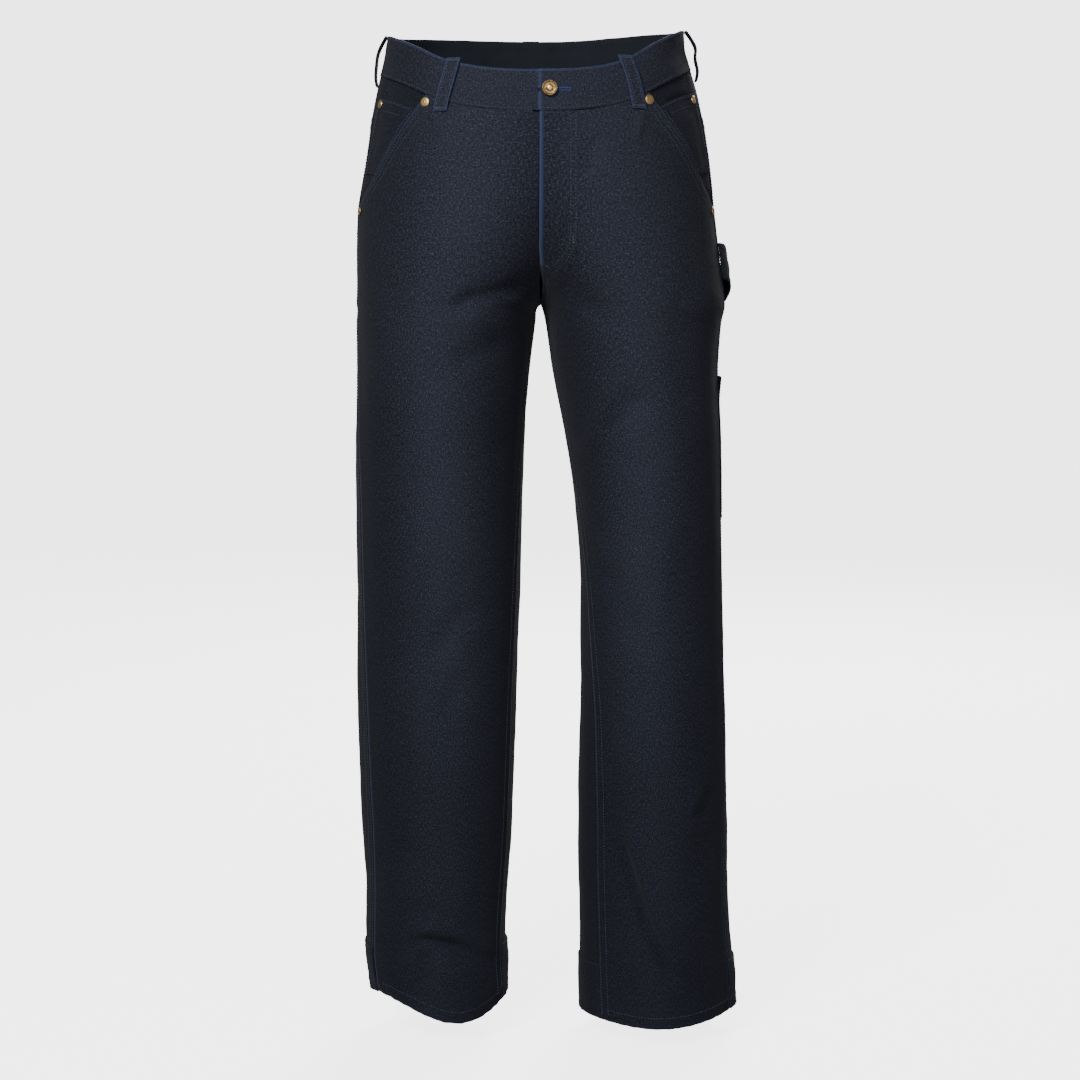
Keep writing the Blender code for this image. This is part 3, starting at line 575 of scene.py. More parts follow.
frontLook = {        # each crease: places seen straight on, width, height and lean to one side
    right: {
        "top": (-0.001, -0.115, -0.0787), "slashTop": (-0.117, -0.086, -0.060),
        "slashFoot": (-0.1985, -0.030, -0.174), "hemOut": (-0.196, -0.017, -1.0585),
        "hemIn": (-0.040, -0.002, -1.069), "crotch": (-0.001, -0.002, -0.2814),
        "creases": [
            ([(-0.1512, -0.9946), (-0.1250, -0.9943), (-0.1004, -1.0003), (-0.0803, -1.0104),
              (-0.0680, -1.0215), (-0.0580, -1.0358)], 0.0062, -0.0040, 0.55),
            ([(-0.1273, -1.0000), (-0.1285, -1.0500)], 0.0100, -0.0024, 0.3),
            ([(-0.1650, -0.9700), (-0.1450, -0.9600), (-0.1150, -0.9640)], 0.0100, -0.0014, 0.2),
            ([(-0.0736, -0.6042), (-0.1066, -0.6477), (-0.1200, -0.6800)], 0.0120, -0.0018, 0.4),
            ([(-0.0880, -0.6850), (-0.1095, -0.7471)], 0.0120, -0.0013, 0.3),
            ([(-0.0064, -0.2601), (-0.0386, -0.2653), (-0.0758, -0.2758), (-0.1000, -0.2900)],
             0.0090, -0.0024, 0.35),
            ([(-0.0350, -0.3160), (-0.0643, -0.3330), (-0.0963, -0.3453)], 0.0130, -0.0020, -0.3),
            ([(-0.1156, -0.0680), (-0.1120, -0.0830), (-0.1080, -0.1050)], 0.0045, 0.0014, 0.0),
            ([(-0.1650, -0.2400), (-0.1500, -0.3300), (-0.1550, -0.4300)], 0.0160, -0.0014, 0.2),
            ([(-0.1480, -0.7700), (-0.1400, -0.8600), (-0.1500, -0.9300)], 0.0150, -0.0012, -0.3),
        ],
    },
    left: {
        "top": (0.001, -0.115, -0.0787), "slashTop": (0.111, -0.088, -0.060),
        "slashFoot": (0.1885, -0.029, -0.174), "hemOut": (0.216, -0.009, -1.084),
        "hemIn": (0.045, -0.003, -1.0885), "crotch": (0.001, -0.002, -0.2814),
        "creases": [
            ([(0.0840, -0.8600), (0.0933, -0.8934), (0.1070, -0.9371), (0.1219, -0.9810), (0.1332, -1.0029),
              (0.1436, -1.0262), (0.1562, -1.0452), (0.1590, -1.0560)], 0.0062, -0.0046, 0.60),
            ([(0.1790, -0.8140), (0.1740, -0.8300), (0.1669, -0.8500)], 0.0060, 0.0020, 0.6),
            ([(0.1830, -0.8600), (0.1730, -0.9100), (0.1700, -0.9700)], 0.0130, -0.0016, 0.3),
            ([(0.0760, -0.3620), (0.0713, -0.3767), (0.0600, -0.4200), (0.0507, -0.4500)], 0.0100, 0.0022, 0.4),
            ([(0.1131, -0.3722), (0.0900, -0.3980), (0.0653, -0.4260)], 0.0120, -0.0022, 0.3),
            ([(0.1104, -0.0720), (0.1060, -0.0900), (0.1010, -0.1110)], 0.0045, 0.0014, 0.0),
            ([(0.0630, -0.1000), (0.0520, -0.1250), (0.0450, -0.1480)], 0.0085, -0.0015, 0.3),
            ([(0.0329, -0.1880), (0.0250, -0.2071), (0.0203, -0.2281), (0.0097, -0.2386)],
             0.0042, -0.0019, 0.5),
            ([(0.0150, -0.2560), (0.0450, -0.2760), (0.0720, -0.3080)], 0.0110, -0.0020, -0.4),
            ([(0.0700, -0.5600), (0.0880, -0.6100), (0.1100, -0.6500)], 0.0130, -0.0016, 0.4),
            ([(0.1550, -0.5200), (0.1500, -0.6100), (0.1620, -0.7000)], 0.0150, -0.0013, -0.3),
            ([(0.1550, -0.2400), (0.1480, -0.3200), (0.1620, -0.4000)], 0.0160, -0.0014, 0.2),
        ],
    },
}
sideName = {right: "right", left: "left"}


def makeFront(side):
    look = frontLook[side]
    name = "front_" + sideName[side]
    bm = fineSkin(name)
    routes = {
        "waist": border(bm, look["top"], look["slashTop"], (0.06 * side, -0.108, -0.074)),
        "slash": border(bm, look["slashTop"], look["slashFoot"], (0.165 * side, -0.070, -0.110)),
        "outseam": border(bm, look["slashFoot"], look["hemOut"], (0.200 * side, -0.02, -0.6)),
        "hem": border(bm, look["hemOut"], look["hemIn"], (0.115 * side, -0.063, -1.085)),
        "inseam": border(bm, look["hemIn"], look["crotch"], (0.035 * side, 0.0, -0.6)),
        "fly": border(bm, look["crotch"], look["top"], (0.0, -0.110, -0.17)),
    }
    dressPanel(bm, look["creases"], [routes["inseam"]], routes["hem"], seed=3.1 * side)
    places, _ = points(bm)
    toSlash, _ = fromPath(places, routes["slash"])
    toOut, _ = fromPath(places, routes["outseam"])
    toFly, _ = fromPath(places, routes["fly"])
    toHem, _ = fromPath(places, routes["hem"])
    worn = peak(toSlash, 0.0020) * 0.16 + peak(toOut, 0.0017) * 0.42 + peak(toHem, 0.0022) * 0.12
    if side == left:
        lap = (1 - softStep(toFly, 0.0395, 0.0425)) * softStep(places[:, 2], -0.242, -0.236)
        moveOut(bm, lap * softStep(toFly, -0.001, 0.0005) * 0.0008)
        worn += peak(toFly, 0.0017) * 0.80 * softStep(places[:, 2], -0.250, -0.235)
        spread(bm, 0.0014, lambda place: place.x < 0.004 and place.y < -0.07 and place.z > -0.262)
    spread(bm, 0.0002)
    writeCloth(bm, front=True, worn=worn)
    clothPiece(bm, name, denimPaint)
    return routes


print("front panels")
frontRoutes = {side: makeFront(side) for side in (right, left)}


# Back panels

backLook = {
    right: {
        "topOut": (-0.190, -0.036, -0.0865), "topIn": (-0.001, 0.135, -0.128),
        "hemOut": (-0.196, -0.017, -1.0585), "hemIn": (-0.040, -0.002, -1.069),
        "crotch": (-0.001, -0.002, -0.2814),
        "creases": [
            ([(-0.018, -0.292), (-0.052, -0.322), (-0.096, -0.330), (-0.140, -0.312)], 0.0095, -0.0036, 0.55),
            ([(-0.030, -0.345), (-0.075, -0.372), (-0.125, -0.366)], 0.0110, -0.0026, 0.45),
            ([(-0.045, -0.415), (-0.090, -0.432), (-0.130, -0.420)], 0.0130, -0.0016, 0.4),
            ([(-0.165, -0.578), (-0.128, -0.604), (-0.082, -0.598), (-0.055, -0.584)], 0.0090, -0.0036, 0.55),
            ([(-0.158, -0.648), (-0.112, -0.634), (-0.064, -0.652)], 0.0095, -0.0030, 0.5),
            ([(-0.170, -0.700), (-0.128, -0.684), (-0.074, -0.708)], 0.0110, -0.0020, 0.4),
            ([(-0.150, -0.830), (-0.128, -0.880), (-0.140, -0.940)], 0.0140, -0.0016, 0.3),
            ([(-0.168, -0.972), (-0.124, -0.992), (-0.080, -0.982), (-0.055, -0.968)], 0.0080, -0.0034, 0.55),
            ([(-0.040, -0.205), (-0.085, -0.262), (-0.150, -0.300)], 0.0130, -0.0016, 0.3),
        ],
    },
    left: {
        "topOut": (0.183, -0.036, -0.0865), "topIn": (0.001, 0.135, -0.128),
        "hemOut": (0.216, -0.009, -1.084), "hemIn": (0.045, -0.003, -1.0885),
        "crotch": (0.001, -0.002, -0.2814),
        "creases": [
            ([(0.020, -0.290), (0.060, -0.316), (0.108, -0.326), (0.150, -0.306)], 0.0095, -0.0034, 0.5),
            ([(0.035, -0.352), (0.085, -0.366), (0.132, -0.356)], 0.0110, -0.0024, -0.4),
            ([(0.060, -0.430), (0.105, -0.418), (0.150, -0.428)], 0.0130, -0.0015, 0.4),
            ([(0.178, -0.590), (0.138, -0.612), (0.092, -0.600), (0.064, -0.588)], 0.0090, -0.0034, 0.5),
            ([(0.172, -0.662), (0.122, -0.642), (0.072, -0.656)], 0.0095, -0.0031, -0.5),
            ([(0.180, -0.722), (0.140, -0.698), (0.088, -0.712)], 0.0110, -0.0019, 0.4),
            ([(0.160, -0.820), (0.144, -0.890), (0.156, -0.950)], 0.0140, -0.0017, -0.3),
            ([(0.190, -0.990), (0.148, -1.006), (0.100, -0.996), (0.070, -0.980)], 0.0080, -0.0032, 0.5),
            ([(0.045, -0.210), (0.090, -0.258), (0.155, -0.304)], 0.0130, -0.0016, -0.3),
        ],
    },
}


def makeBack(side):
    look = backLook[side]
    name = "back_" + sideName[side]
    bm = fineSkin(name)
    routes = {
        "yoke": border(bm, look["topOut"], look["topIn"], (0.10 * side, 0.11, -0.11)),
        "outseam": border(bm, look["topOut"], look["hemOut"], (0.200 * side, -0.02, -0.6)),
        "hem": border(bm, look["hemOut"], look["hemIn"], (0.115 * side, 0.078, -1.085)),
        "inseam": border(bm, look["hemIn"], look["crotch"], (0.035 * side, 0.0, -0.6)),
        "seat": border(bm, look["crotch"], look["topIn"], (0.0, 0.110, -0.21)),
    }
    dressPanel(bm, look["creases"], [routes["outseam"], routes["seat"]], routes["hem"], seed=5.3 * side)
    places, _ = points(bm)
    toHem, _ = fromPath(places, routes["hem"])
    spread(bm, 0.0002)
    writeCloth(bm, front=False, worn=peak(toHem, 0.0022) * 0.12)
    clothPiece(bm, name, denimPaint)
    return routes


print("back panels")
backRoutes = {side: makeBack(side) for side in (right, left)}


# Yokes, facings and waistband

def makeYoke(side):
    name = "yoke_" + sideName[side]
    bm = fineSkin(name)
    footIn = (0.001 * side, 0.139, -0.1279)
    routes = {
        "foot": border(bm, (0.186 * side, -0.034, -0.0860), footIn, (0.10 * side, 0.11, -0.108)),
        "seat": border(bm, footIn, (0.001 * side, 0.125, -0.026), (0.0, 0.133, -0.08)),
    }
    crease = ([(0.030 * side, -0.062), (0.085 * side, -0.050), (0.135 * side, -0.060)], 0.011, -0.0010, 0.3)
    dressPanel(bm, [crease], [routes["foot"], routes["seat"]], seed=9.7 * side)
    writeCloth(bm, front=False)
    clothPiece(bm, name, denimPaint)
    return routes


facingLook = {
    right: ([(-0.1719, -0.0515), (-0.1540, -0.0600), (-0.1367, -0.0722)], 0.0050, -0.0018, 0.5),
    left: ([(0.1616, -0.0589), (0.1470, -0.0620), (0.1325, -0.0690)], 0.0050, -0.0018, -0.5),
}


def makeFacing(side):
    name = "pocket_facing_" + sideName[side]
    bm = fineSkin(name)

    def awayFrom(panel):
        tree = skins[panel + sideName[side]][1]
        return np.array([tree.find_nearest(vert.co)[3] for vert in bm.verts])

    beside = 1 - softStep(np.minimum(awayFrom("back_"), awayFrom("yoke_")), 0.004, 0.022)
    moveOut(bm, 0.0008 + 0.0015 * beside * softStep(awayFrom("front_"), 0.0035, 0.0100))
    dressPanel(bm, [facingLook[side]], [], calm=0.35, seed=12.1 * side)
    spread(bm, 0.0009)
    writeCloth(bm, front=True, fade=0.10)
    clothPiece(bm, name, facingPaint)


bandLook = {"puff": 0.0006, "edgeDepth": 0.0058, "ripple": 0.00035, "swell": 0.0006, "lapX": -0.0012}


def makeBand():
    look = bandLook
    bm = fineSkin("waistband", middle=True, soften=1)
    longEdges = sorted(cornerSides(bm), key=routeLength)[-2:]
    routes = {"top": max(longEdges, key=middleHeight), "foot": min(longEdges, key=middleHeight)}
    places, normals = points(bm)
    x, y, _ = places.T
    calm = np.where(y < 0, softStep(np.abs(x - 0.015), 0.030, 0.050), 1)        # flat where its ends lap
    toEdge = toBorder(bm, places)
    puff = softStep(toEdge, look["edgeDepth"] - 0.002, look["edgeDepth"] + 0.006)
    fine = ripple(places, 0.014, 21) * look["ripple"] * softStep(toEdge, 0.0, 0.004)
    moveOut(bm, calm * (puff * look["puff"] + fine + ripple(places, 0.060, 23) * look["swell"] * puff))
    # fade on the band: real fade with painted light, highest on the front where it faces the lamps and falling
    # off towards the sides; the back half is raised by a flat 0.30
    front = np.clip(-normals[:, 1], 0, 1)
    fade = (0.92 - 0.55 * softStep(np.abs(x), 0.085, 0.155)) * (0.3 + 0.7 * front) + np.where(y > 0, 0.30, 0)
    toTop, _ = fromPath(places, routes["top"])
    lap = peak(x - look["lapX"], 0.0016) * (y < 0)
    worn = peak(toTop, 0.0013) * 0.42 * (y < 0) + lap * 0.50
    writeCloth(bm, middle=True, fade=fade, worn=worn)
    clothPiece(bm, "waistband", bandPaint, thickness=0.0026, bevel=0.0005)
    return routes


print("yokes, facings and waistband")
yokeRoutes = {side: makeYoke(side) for side in (right, left)}
for side in (right, left):
    makeFacing(side)
bandRoutes = makeBand()


# Patches, pockets and loops

def seatOn(bm, under, lift):        # lays a patch on the cloth under it
    tree = skins[under][1]
    for vert in bm.verts:
        place, normal, _, _ = tree.find_nearest(vert.co)
        vert.co = place + normal * lift
    bm.normal_update()


def makePatch(
    name, under=None, lift=0.0019, front=False, fade=None, paint=denimPaint, middle=False,
    thickness=0.0015, slot="denim", worn=0.07,
):
    bm = fineSkin(name, middle, soften=1)
    if under:
        seatOn(bm, under, lift)
    places, _ = points(bm)
    toEdge = toBorder(bm, places)
    bulge = softStep(toEdge, 0.009, 0.018) * (ripple(places, 0.030, len(name)) * 0.0007 + 0.0004)
    moveOut(bm, bulge + ripple(places, 0.010, 31) * 0.0002)
    writeCloth(bm, middle=middle, front=front, fade=fade, worn=peak(toEdge, 0.0016) * worn)
    clothPiece(bm, name, paint, thickness=thickness, bevel=0.0004)


print("patches, pockets and loops")
doubled = {"thickness": 0.0018, "slot": "denim_double"}
for side in (right, left):
    each = sideName[side]
    makePatch("coin_pocket_" + each, "pocket_facing_" + each, 0.0018, front=True, fade=0.16, paint=facingPaint)
    makePatch("back_pocket_" + each, "back_" + each)
    makePatch("heel_patch_" + each, "back_" + each)
    # fade on the loops: the front ones take painted light as well as real fade, the side ones little of either
    makePatch("belt_loop_front_" + each, front=True, fade=0.86, middle=True, worn=0.42, **doubled)
    makePatch("belt_loop_side_" + each, front=True, fade=0.05, middle=True, **doubled)
makePatch("belt_loop_back", fade=0.3, middle=True, **doubled)
makePatch("tool_pocket", fade=0.15)
makePatch("hammer_loop", fade=0.12, **doubled)


# Stitching

stitchLook = {
    "pitch": 0.0034, "length": 0.0025, "radius": 0.00036,
    "stand": 0.45,        # how far a stitch's middle stands off the cloth, in radii
    "barPitch": 0.00062, "barRadius": 0.00030, "batch": 40,
}
threads = {"tonal": tonalThread, "pale": paleThread, "blue": blueThread, "white": whiteThread}
sewing = {}        # a mesh of stitches for each part of the garment and thread


def sewStitches(part, thread, stitches, radius):        # in batches: an operator slows down as its mesh grows
    if (part, thread) not in sewing:
        sewing[part, thread] = bmesh.new()
    for start in range(0, len(stitches), stitchLook["batch"]):
        bm = bmesh.new()
        for first, last, normal in stitches[start:start + stitchLook["batch"]]:
            addStitch(bm, first, last, normal, radius)
        batch = bpy.data.meshes.new("batch")
        bm.to_mesh(batch)
        bm.free()
        sewing[part, thread].from_mesh(batch)
        bpy.data.meshes.remove(batch)


def addStitch(bm, first, last, normal, radius):
    way = last - first
    length = way.length
    if length < 1e-5:
        return
    way = way / length
    side = normal.cross(way).normalized()
    up = way.cross(side)
    shape = Matrix((
        (side.x * radius, up.x * radius, way.x * length / 2, 0),
        (side.y * radius, up.y * radius, way.y * length / 2, 0),
        (side.z * radius, up.z * radius, way.z * length / 2, 0),
        (0, 0, 0, 1),
    ))
    shape.translation = (first + last) / 2 + normal * radius * stitchLook["stand"]
    bmesh.ops.create_uvsphere(bm, u_segments=5, v_segments=3, radius=1, matrix=shape)


def sew(part, thread, row, trim=(0.0, 0.0)):        # evenly spaced stitches along a row of places and normals
    look = stitchLook
    places = np.array([place[:] for place, _ in row])
    normals = np.array([normal[:] for _, normal in row])
    reach = np.concatenate([[0], np.cumsum(np.linalg.norm(np.diff(places, axis=0), axis=1))])

    def at(distance, table):
        return Vector([float(np.interp(distance, reach, table[:, axis])) for axis in range(3)])

    start, end = trim[0], reach[-1] - trim[1]
    count = max(0, int((end - start) / look["pitch"]))
    stitches = []
    for index in range(count):
        begin = start + index * look["pitch"]
        close = begin + look["length"]
        stitches.append((at(begin, places), at(close, places), at(begin, normals).normalized()))
    sewStitches(part, thread, stitches, look["radius"])


def inset(route, under, depth):        # a row beside an edge of the cloth, this far in from it
    tree = skins[under][1]
    count = len(route)
    inward = []
    for index, vert in enumerate(route):
        along = (route[min(index + 1, count - 1)].co - route[max(index - 1, 0)].co).normalized()
        way = wayIn(vert)
        inward.append((way - along * way.dot(along)).normalized())
    row = []
    for index, vert in enumerate(route):
        near = inward[max(0, index - 3):index + 4]
        way = (sum(near, Vector()) / len(near)).normalized()
        place, normal, _, _ = tree.find_nearest(vert.co + way * depth)
        row.append((place, normal))
    return row


def facingRow(line, under):        # a row on the front of the cloth, from places seen straight on
    tree = skins[under][1]
    row = []
    for (x1, z1), (x2, z2) in zip(line[:-1], line[1:]):
        steps = max(2, int(math.hypot(x2 - x1, z2 - z1) / 0.003))
        for step in range(steps):
            share = step / steps
            start = Vector((x1 + (x2 - x1) * share, -1, z1 + (z2 - z1) * share))
            place, normal, _, _ = tree.ray_cast(start, Vector((0, 1, 0)))
            if place:
                row.append((place, normal))
    return row


def barTack(part, thread, centre, under, across, length, width=0.0022):        # dense stitches side by side
    tree = skins[under][1]
    across = Vector(across).normalized()
    count = int(length / stitchLook["barPitch"])
    stitches = []
    for index in range(count):
        middle = Vector(centre) + across * ((index + 0.5) / count - 0.5) * length
        place, normal, _, _ = tree.find_nearest(middle)
        up = normal.cross(across).normalized()
        lean = across * (0.0003 if index % 2 else -0.0003)
        stitches.append((place - up * width / 2 - lean, place + up * width / 2 + lean, normal))
    sewStitches(part, thread, stitches, stitchLook["barRadius"])


print("stitching")
seamRows = {        # how far in from an edge each row lies
    "near": 0.0019, "far": 0.0088, "patchFar": 0.0073, "slashNear": 0.0060, "slashFar": 0.0122,
    "hem": 0.0128, "band": 0.0022, "inseamFar": 0.0098, "loop": 0.0034, "hammerLoop": 0.0045,
}
flyRows = (
    [(0.0316, -0.0790), (0.0316, -0.1200), (0.0317, -0.1600), (0.0318, -0.2050),
     (0.0296, -0.2170), (0.0230, -0.2300), (0.0150, -0.2385), (0.0076, -0.2418)],
    [(0.0368, -0.0790), (0.0368, -0.1200), (0.0370, -0.1600), (0.0371, -0.2080),
     (0.0342, -0.2215), (0.0262, -0.2360), (0.0170, -0.2450), (0.0085, -0.2485)],
)
bagRows = {
    right: [(-0.1790, -0.1600), (-0.1812, -0.1900), (-0.1818, -0.2084), (-0.1860, -0.2140), (-0.1930, -0.2200)],
    left: [(0.1700, -0.1600), (0.1722, -0.1900), (0.1730, -0.2084), (0.1772, -0.2140), (0.1840, -0.2200)],
}
for side in (right, left):
    each = sideName[side]
    front, back, yoke = "front_" + each, "back_" + each, "yoke_" + each
    for depth in (seamRows["slashNear"], seamRows["slashFar"]):
        sew("front", "pale", inset(frontRoutes[side]["slash"], front, depth), trim=(0.001, 0.001))
    for depth in (seamRows["near"], seamRows["inseamFar"]):
        sew("front", "pale", inset(frontRoutes[side]["inseam"], front, depth), trim=(0.001, 0.002))
    sew("front", "pale", inset(frontRoutes[side]["hem"], front, seamRows["hem"]))
    sew("front", "tonal", facingRow(bagRows[side], front))
    for depth in (seamRows["near"], seamRows["far"]):
        sew("back", "pale", inset(backRoutes[side]["outseam"], back, depth), trim=(0.001, 0.002))
        sew("back", "pale", inset(yokeRoutes[side]["foot"], yoke, depth), trim=(0.001, 0.001))
    sew("back", "pale", inset(backRoutes[side]["hem"], back, seamRows["hem"]))
for depth in (seamRows["near"], seamRows["far"]):
    sew("back", "pale", inset(backRoutes[left]["seat"], "back_left", depth))
    sew("back", "pale", inset(yokeRoutes[left]["seat"], "yoke_left", depth))
for line in flyRows:
    sew("front", "pale", facingRow(line, "front_left"))
crotchEnd = [vert for vert in frontRoutes[left]["fly"] if vert.co.z < -0.2440]
for depth in (seamRows["near"], seamRows["far"]):
    sew("front", "pale", inset(crotchEnd, "front_left", depth), trim=(0.003, 0.0))
sew("band", "pale", inset(bandRoutes["top"], "waistband", seamRows["band"]), trim=(0.002, 0.004))
sew("band", "pale", inset(bandRoutes["foot"], "waistband", seamRows["band"]), trim=(0.002, 0.004))
sew("band", "pale", facingRow([(-0.0006, -0.0400), (-0.0006, -0.0740)], "waistband"))
barTack("front", "pale", (0.0345, -0.11, -0.2120), "front_left", (0, 0, 1), 0.0085, 0.0024)
barTack("front", "pale", (0.0042, -0.085, -0.2440), "front_left", (1, 0, 0.1), 0.0070, 0.0022)


def sewPatch(name, part, edges, depths):        # rows that stop short of the rows round the corner
    for route in edges:
        for depth in depths:
            short = 0.0015 + depth * 0.8
            sew(part, "pale", inset(route, name, depth), trim=(short, short))


def sewPocket(name, topDepths, otherDepths, footToo=True):
    sides = cornerSides(skins[name][0])
    top = max(sides, key=middleHeight)
    low = min(sides, key=middleHeight)
    others = [route for route in sides if route is not top and (footToo or route is not low)]
    sewPatch(name, "pockets", [top], topDepths)
    sewPatch(name, "pockets", others, otherDepths)


patchRows = (seamRows["near"], seamRows["patchFar"])
for side in (right, left):
    each = sideName[side]
    sewPocket("back_pocket_" + each, (0.0025, 0.0130), patchRows)
    sewPocket("heel_patch_" + each, patchRows, ())
    sewPocket("coin_pocket_" + each, (0.0020, 0.0125), (seamRows["near"],), footToo=False)
beltLoops = ["belt_loop_" + place for place in ("front_right", "front_left", "side_right", "side_left", "back")]
for name in beltLoops + ["hammer_loop"]:
    longest = sorted(cornerSides(skins[name][0]), key=routeLength)[-2:]
    sewPatch(name, "loops", longest, (seamRows["hammerLoop" if name == "hammer_loop" else "loop"],))
sewPocket("tool_pocket", (0.0025, 0.0130), patchRows)


def middleOf(verts):
    return sum((vert.co for vert in verts), Vector()) / len(verts)


for name in beltLoops:
    middle = middleOf(skins[name][0].verts)
    for end in sorted(cornerSides(skins[name][0]), key=routeLength)[:2]:
        centre = middleOf(end)
        across = end[-1].co - end[0].co
        thread = "white" if centre.z < middle.z and "side" in name else "pale"
        place = centre + (middle - centre).normalized() * 0.0032
        barTack("loops", thread, place, name, across, across.length * 0.86)
buttonhole = {"from": 0.0135, "to": 0.0308, "y": -0.116, "z": -0.0550, "lip": 0.0013}
middle, y, z = (buttonhole["from"] + buttonhole["to"]) / 2, buttonhole["y"], buttonhole["z"]
for lift in (buttonhole["lip"], -buttonhole["lip"]):
    length = buttonhole["to"] - buttonhole["from"]
    barTack("band", "blue", (middle, y, z + lift), "waistband", (1, 0, 0), length, 0.0017)
barTack("band", "blue", (buttonhole["to"] + 0.0004, y, z), "waistband", (0, 0, 1), 0.0040, 0.0016)


def finishSewing():
    for (part, thread), bm in sewing.items():
        mesh = bpy.data.meshes.new("stitching_" + part + "_" + thread)
        for face in bm.faces:
            face.smooth = True
        bm.to_mesh(mesh)
        bm.free()
        mesh.materials.append(threads[thread])
        piece = addObject(mesh.name, mesh)
        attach(piece, "root")
        print(piece.name, len(mesh.polygons))


finishSewing()


# Button and rivets

hardware = {
    "rivetProfile": [        # share of the radius, share of the height
        (0, 1.0), (0.12, 0.98), (0.20, 0.86), (0.34, 0.82), (0.50, 0.86), (0.68, 0.82),
        (0.84, 0.66), (0.95, 0.40), (1.0, 0.14), (0.985, 0), (0, 0),
    ],
    "ringProfile": [
        (0.44, 0.40), (0.48, 0.47), (0.56, 0.44), (0.66, 0.44), (0.74, 0.52), (0.80, 0.66),
        (0.87, 0.76), (0.93, 0.72), (0.98, 0.54), (1.0, 0.32), (0.96, 0.12), (0.84, 0), (0.44, 0),
    ],
    "domeProfile": [
        (0, 1.0), (0.14, 0.985), (0.27, 0.925), (0.37, 0.81), (0.43, 0.65), (0.455, 0.46),
        (0.45, 0.30), (0, 0.30),
    ],
    "steps": 36,
    "beads": 44,
    "beadRing": 0.87,        # share of the button's radius
    "beadHeight": 0.76,
    "bead": (0.00062, 0.00034, 0.00030, 1),
}


def frameOf(node):        # centre, direction, radius and height of a round CAD node
    bm = bmesh.new()
    bm.from_mesh(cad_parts[node].data)
    bmesh.ops.remove_doubles(bm, verts=bm.verts, dist=1e-5)
    places, _ = points(bm)
    bm.free()
    centre = places.mean(axis=0)
    axis = Vector(np.linalg.svd(places - centre)[2][2])
    outward = Vector(centre) - axisPoint(Vector(centre), node == "waist_button")
    axis = axis if axis.dot(outward) > 0 else -axis
    reach = (places - centre) @ np.array(axis)
    across = np.linalg.norm((places - centre) - reach[:, None] * np.array(axis), axis=1)
    base = Vector(centre) + axis * float(reach.min())
    return base, axis, float(across.max()), float(reach.max() - reach.min())


def turned(bm, profile, radius, height, closed=False):
    verts = [bm.verts.new((radius * r, 0, height * h)) for r, h in profile]
    ends = list(zip(verts, verts[1:])) + ([(verts[-1], verts[0])] if closed else [])
    edges = [bm.edges.new(pair) for pair in ends]
    bmesh.ops.spin(
        bm, geom=verts + edges, cent=(0, 0, 0), axis=(0, 0, 1), angle=2 * math.pi,
        steps=hardware["steps"], use_merge=True,
    )
    bmesh.ops.remove_doubles(bm, verts=bm.verts, dist=2e-6)
    bmesh.ops.recalc_face_normals(bm, faces=bm.faces)


def placeMetal(bm, name, node, paint, replaced=True):
    base, axis, _, _ = frameOf(node)
    turn = axis.to_track_quat("Z", "Y").to_matrix().to_4x4()
    turn.translation = base
    bmesh.ops.transform(bm, matrix=turn, verts=bm.verts)
    for face in bm.faces:
        face.smooth = True
    mesh = bpy.data.meshes.new(name)
    bm.to_mesh(mesh)
    bm.free()
    mesh.materials.append(paint)
    piece = addObject(name, mesh)
    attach(piece, "root")
    if replaced:
        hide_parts(node)


print("button and rivets")
for node in sorted(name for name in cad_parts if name.startswith("rivet")):
    _, _, radius, height = frameOf(node)
    bm = bmesh.new()
    turned(bm, hardware["rivetProfile"], radius, height)
    placeMetal(bm, "metal_" + node, node, brassPaint)

_, _, buttonRadius, buttonHeight = frameOf("waist_button")
bm = bmesh.new()
turned(bm, hardware["ringProfile"], buttonRadius, buttonHeight, closed=True)
away = Matrix.Translation((hardware["beadRing"] * buttonRadius, 0, hardware["beadHeight"] * buttonHeight))
for index in range(hardware["beads"]):
    turn = Matrix.Rotation(2 * math.pi * index / hardware["beads"], 4, "Z")
    place = turn @ away @ Matrix.Diagonal(hardware["bead"])
    bmesh.ops.create_uvsphere(bm, u_segments=6, v_segments=4, radius=1, matrix=place)
placeMetal(bm, "button_ring", "waist_button", antiquePaint)
bm = bmesh.new()
turned(bm, hardware["domeProfile"], buttonRadius, buttonHeight)
placeMetal(bm, "button_dome", "waist_button", brassPaint, replaced=False)


# Camera, floor and light

viewLook = {
    "eye": (-0.001, -2.4227, -0.25), "pitch": 6.977, "lens": 72,
    "floor": -1.118, "paper": (0.93, 0.93, 0.925), "glow": 3.4, "sky": 0.20,
    "lamps": (        # place, what it points at, power and size
        ("key", (-1.3, -2.5, 1.4), (0, 0, -0.45), 92, 1.1),
        ("fill", (1.1, -2.8, 0.4), (0, 0, -0.6), 15, 1.8),
        ("low", (0.0, -2.6, -0.75), (0, 0, -0.8), 12, 1.4),
        ("rim", (0.9, 2.6, 1.4), (0, 0, -0.5), 110, 1.8),
    ),
}


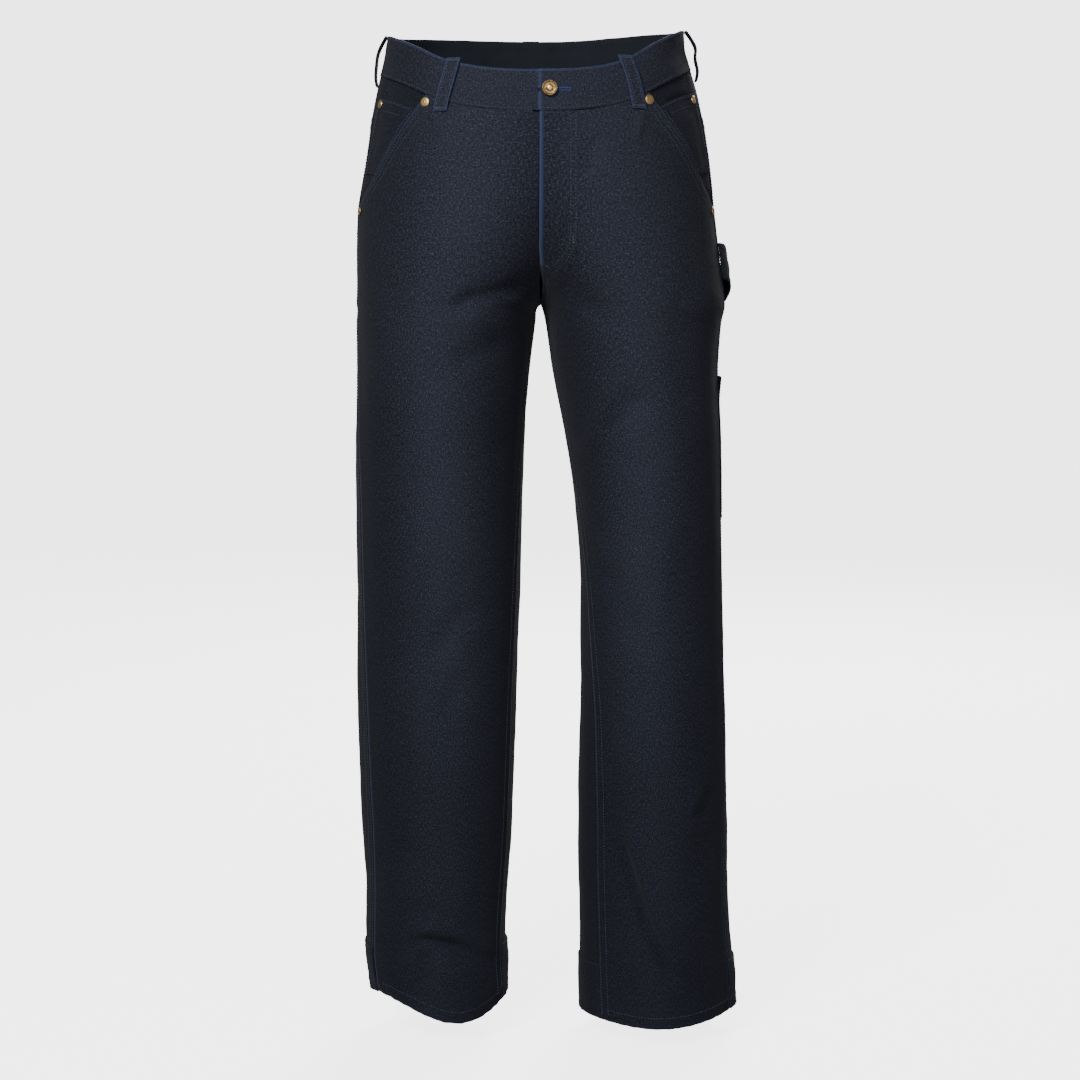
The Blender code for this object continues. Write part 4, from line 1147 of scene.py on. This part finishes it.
def makeStudio():
    camera = addObject("camera", bpy.data.cameras.new("camera"))
    camera.location = viewLook["eye"]
    camera.rotation_euler = (math.radians(90 - viewLook["pitch"]), 0, 0)
    camera.data.lens = viewLook["lens"]
    camera.data.sensor_width = 36
    bpy.context.scene.camera = camera
    bm = bmesh.new()
    bmesh.ops.create_grid(bm, x_segments=4, y_segments=4, size=9)
    bmesh.ops.translate(bm, verts=bm.verts, vec=(0, 0, viewLook["floor"]))
    rim = [edge for edge in bm.edges if edge.is_boundary]
    walls = bmesh.ops.extrude_edge_only(bm, edges=rim)["geom"]        # the paper curves up on every side
    tops = [part for part in walls if isinstance(part, bmesh.types.BMVert)]
    bmesh.ops.translate(bm, verts=tops, vec=(0, 0, 9))
    bmesh.ops.bevel(
        bm, geom=rim, offset=3, offset_type="OFFSET", affect="EDGES", segments=10, profile=0.5, material=-1
    )
    for face in bm.faces:
        face.smooth = True
    mesh = bpy.data.meshes.new("floor")
    bm.to_mesh(mesh)
    bm.free()
    floor = addObject("floor", mesh)
    paper = Paint("paper")
    place = paper.node("ShaderNodeTexCoord", out="Object")
    tooth = paper.noise(place, 3)
    shade = paper.mix(tooth, scaled(viewLook["paper"], 0.98), viewLook["paper"])
    glow = {"Emission_Color": (1, 1, 1, 1), "Emission_Strength": viewLook["glow"]}
    mesh.materials.append(paper.finish(shade, 0.9, **glow))
    floor.visible_diffuse = False        # the cloth is lit by the lamps alone
    floor.visible_glossy = False
    world = bpy.data.worlds.new("studio")
    world.use_nodes = True
    world.node_tree.nodes["Background"].inputs["Color"].default_value = (1, 1, 1, 1)
    world.node_tree.nodes["Background"].inputs["Strength"].default_value = viewLook["sky"]
    bpy.context.scene.world = world
    for name, place, target, power, size in viewLook["lamps"]:
        light = bpy.data.lights.new(name, "AREA")
        light.energy = power
        light.size = size
        lamp = addObject(name, light)
        lamp.location = place
        lamp.rotation_euler = (Vector(target) - Vector(place)).to_track_quat("-Z", "Y").to_euler()


makeStudio()
print("camera, floor and light ready")
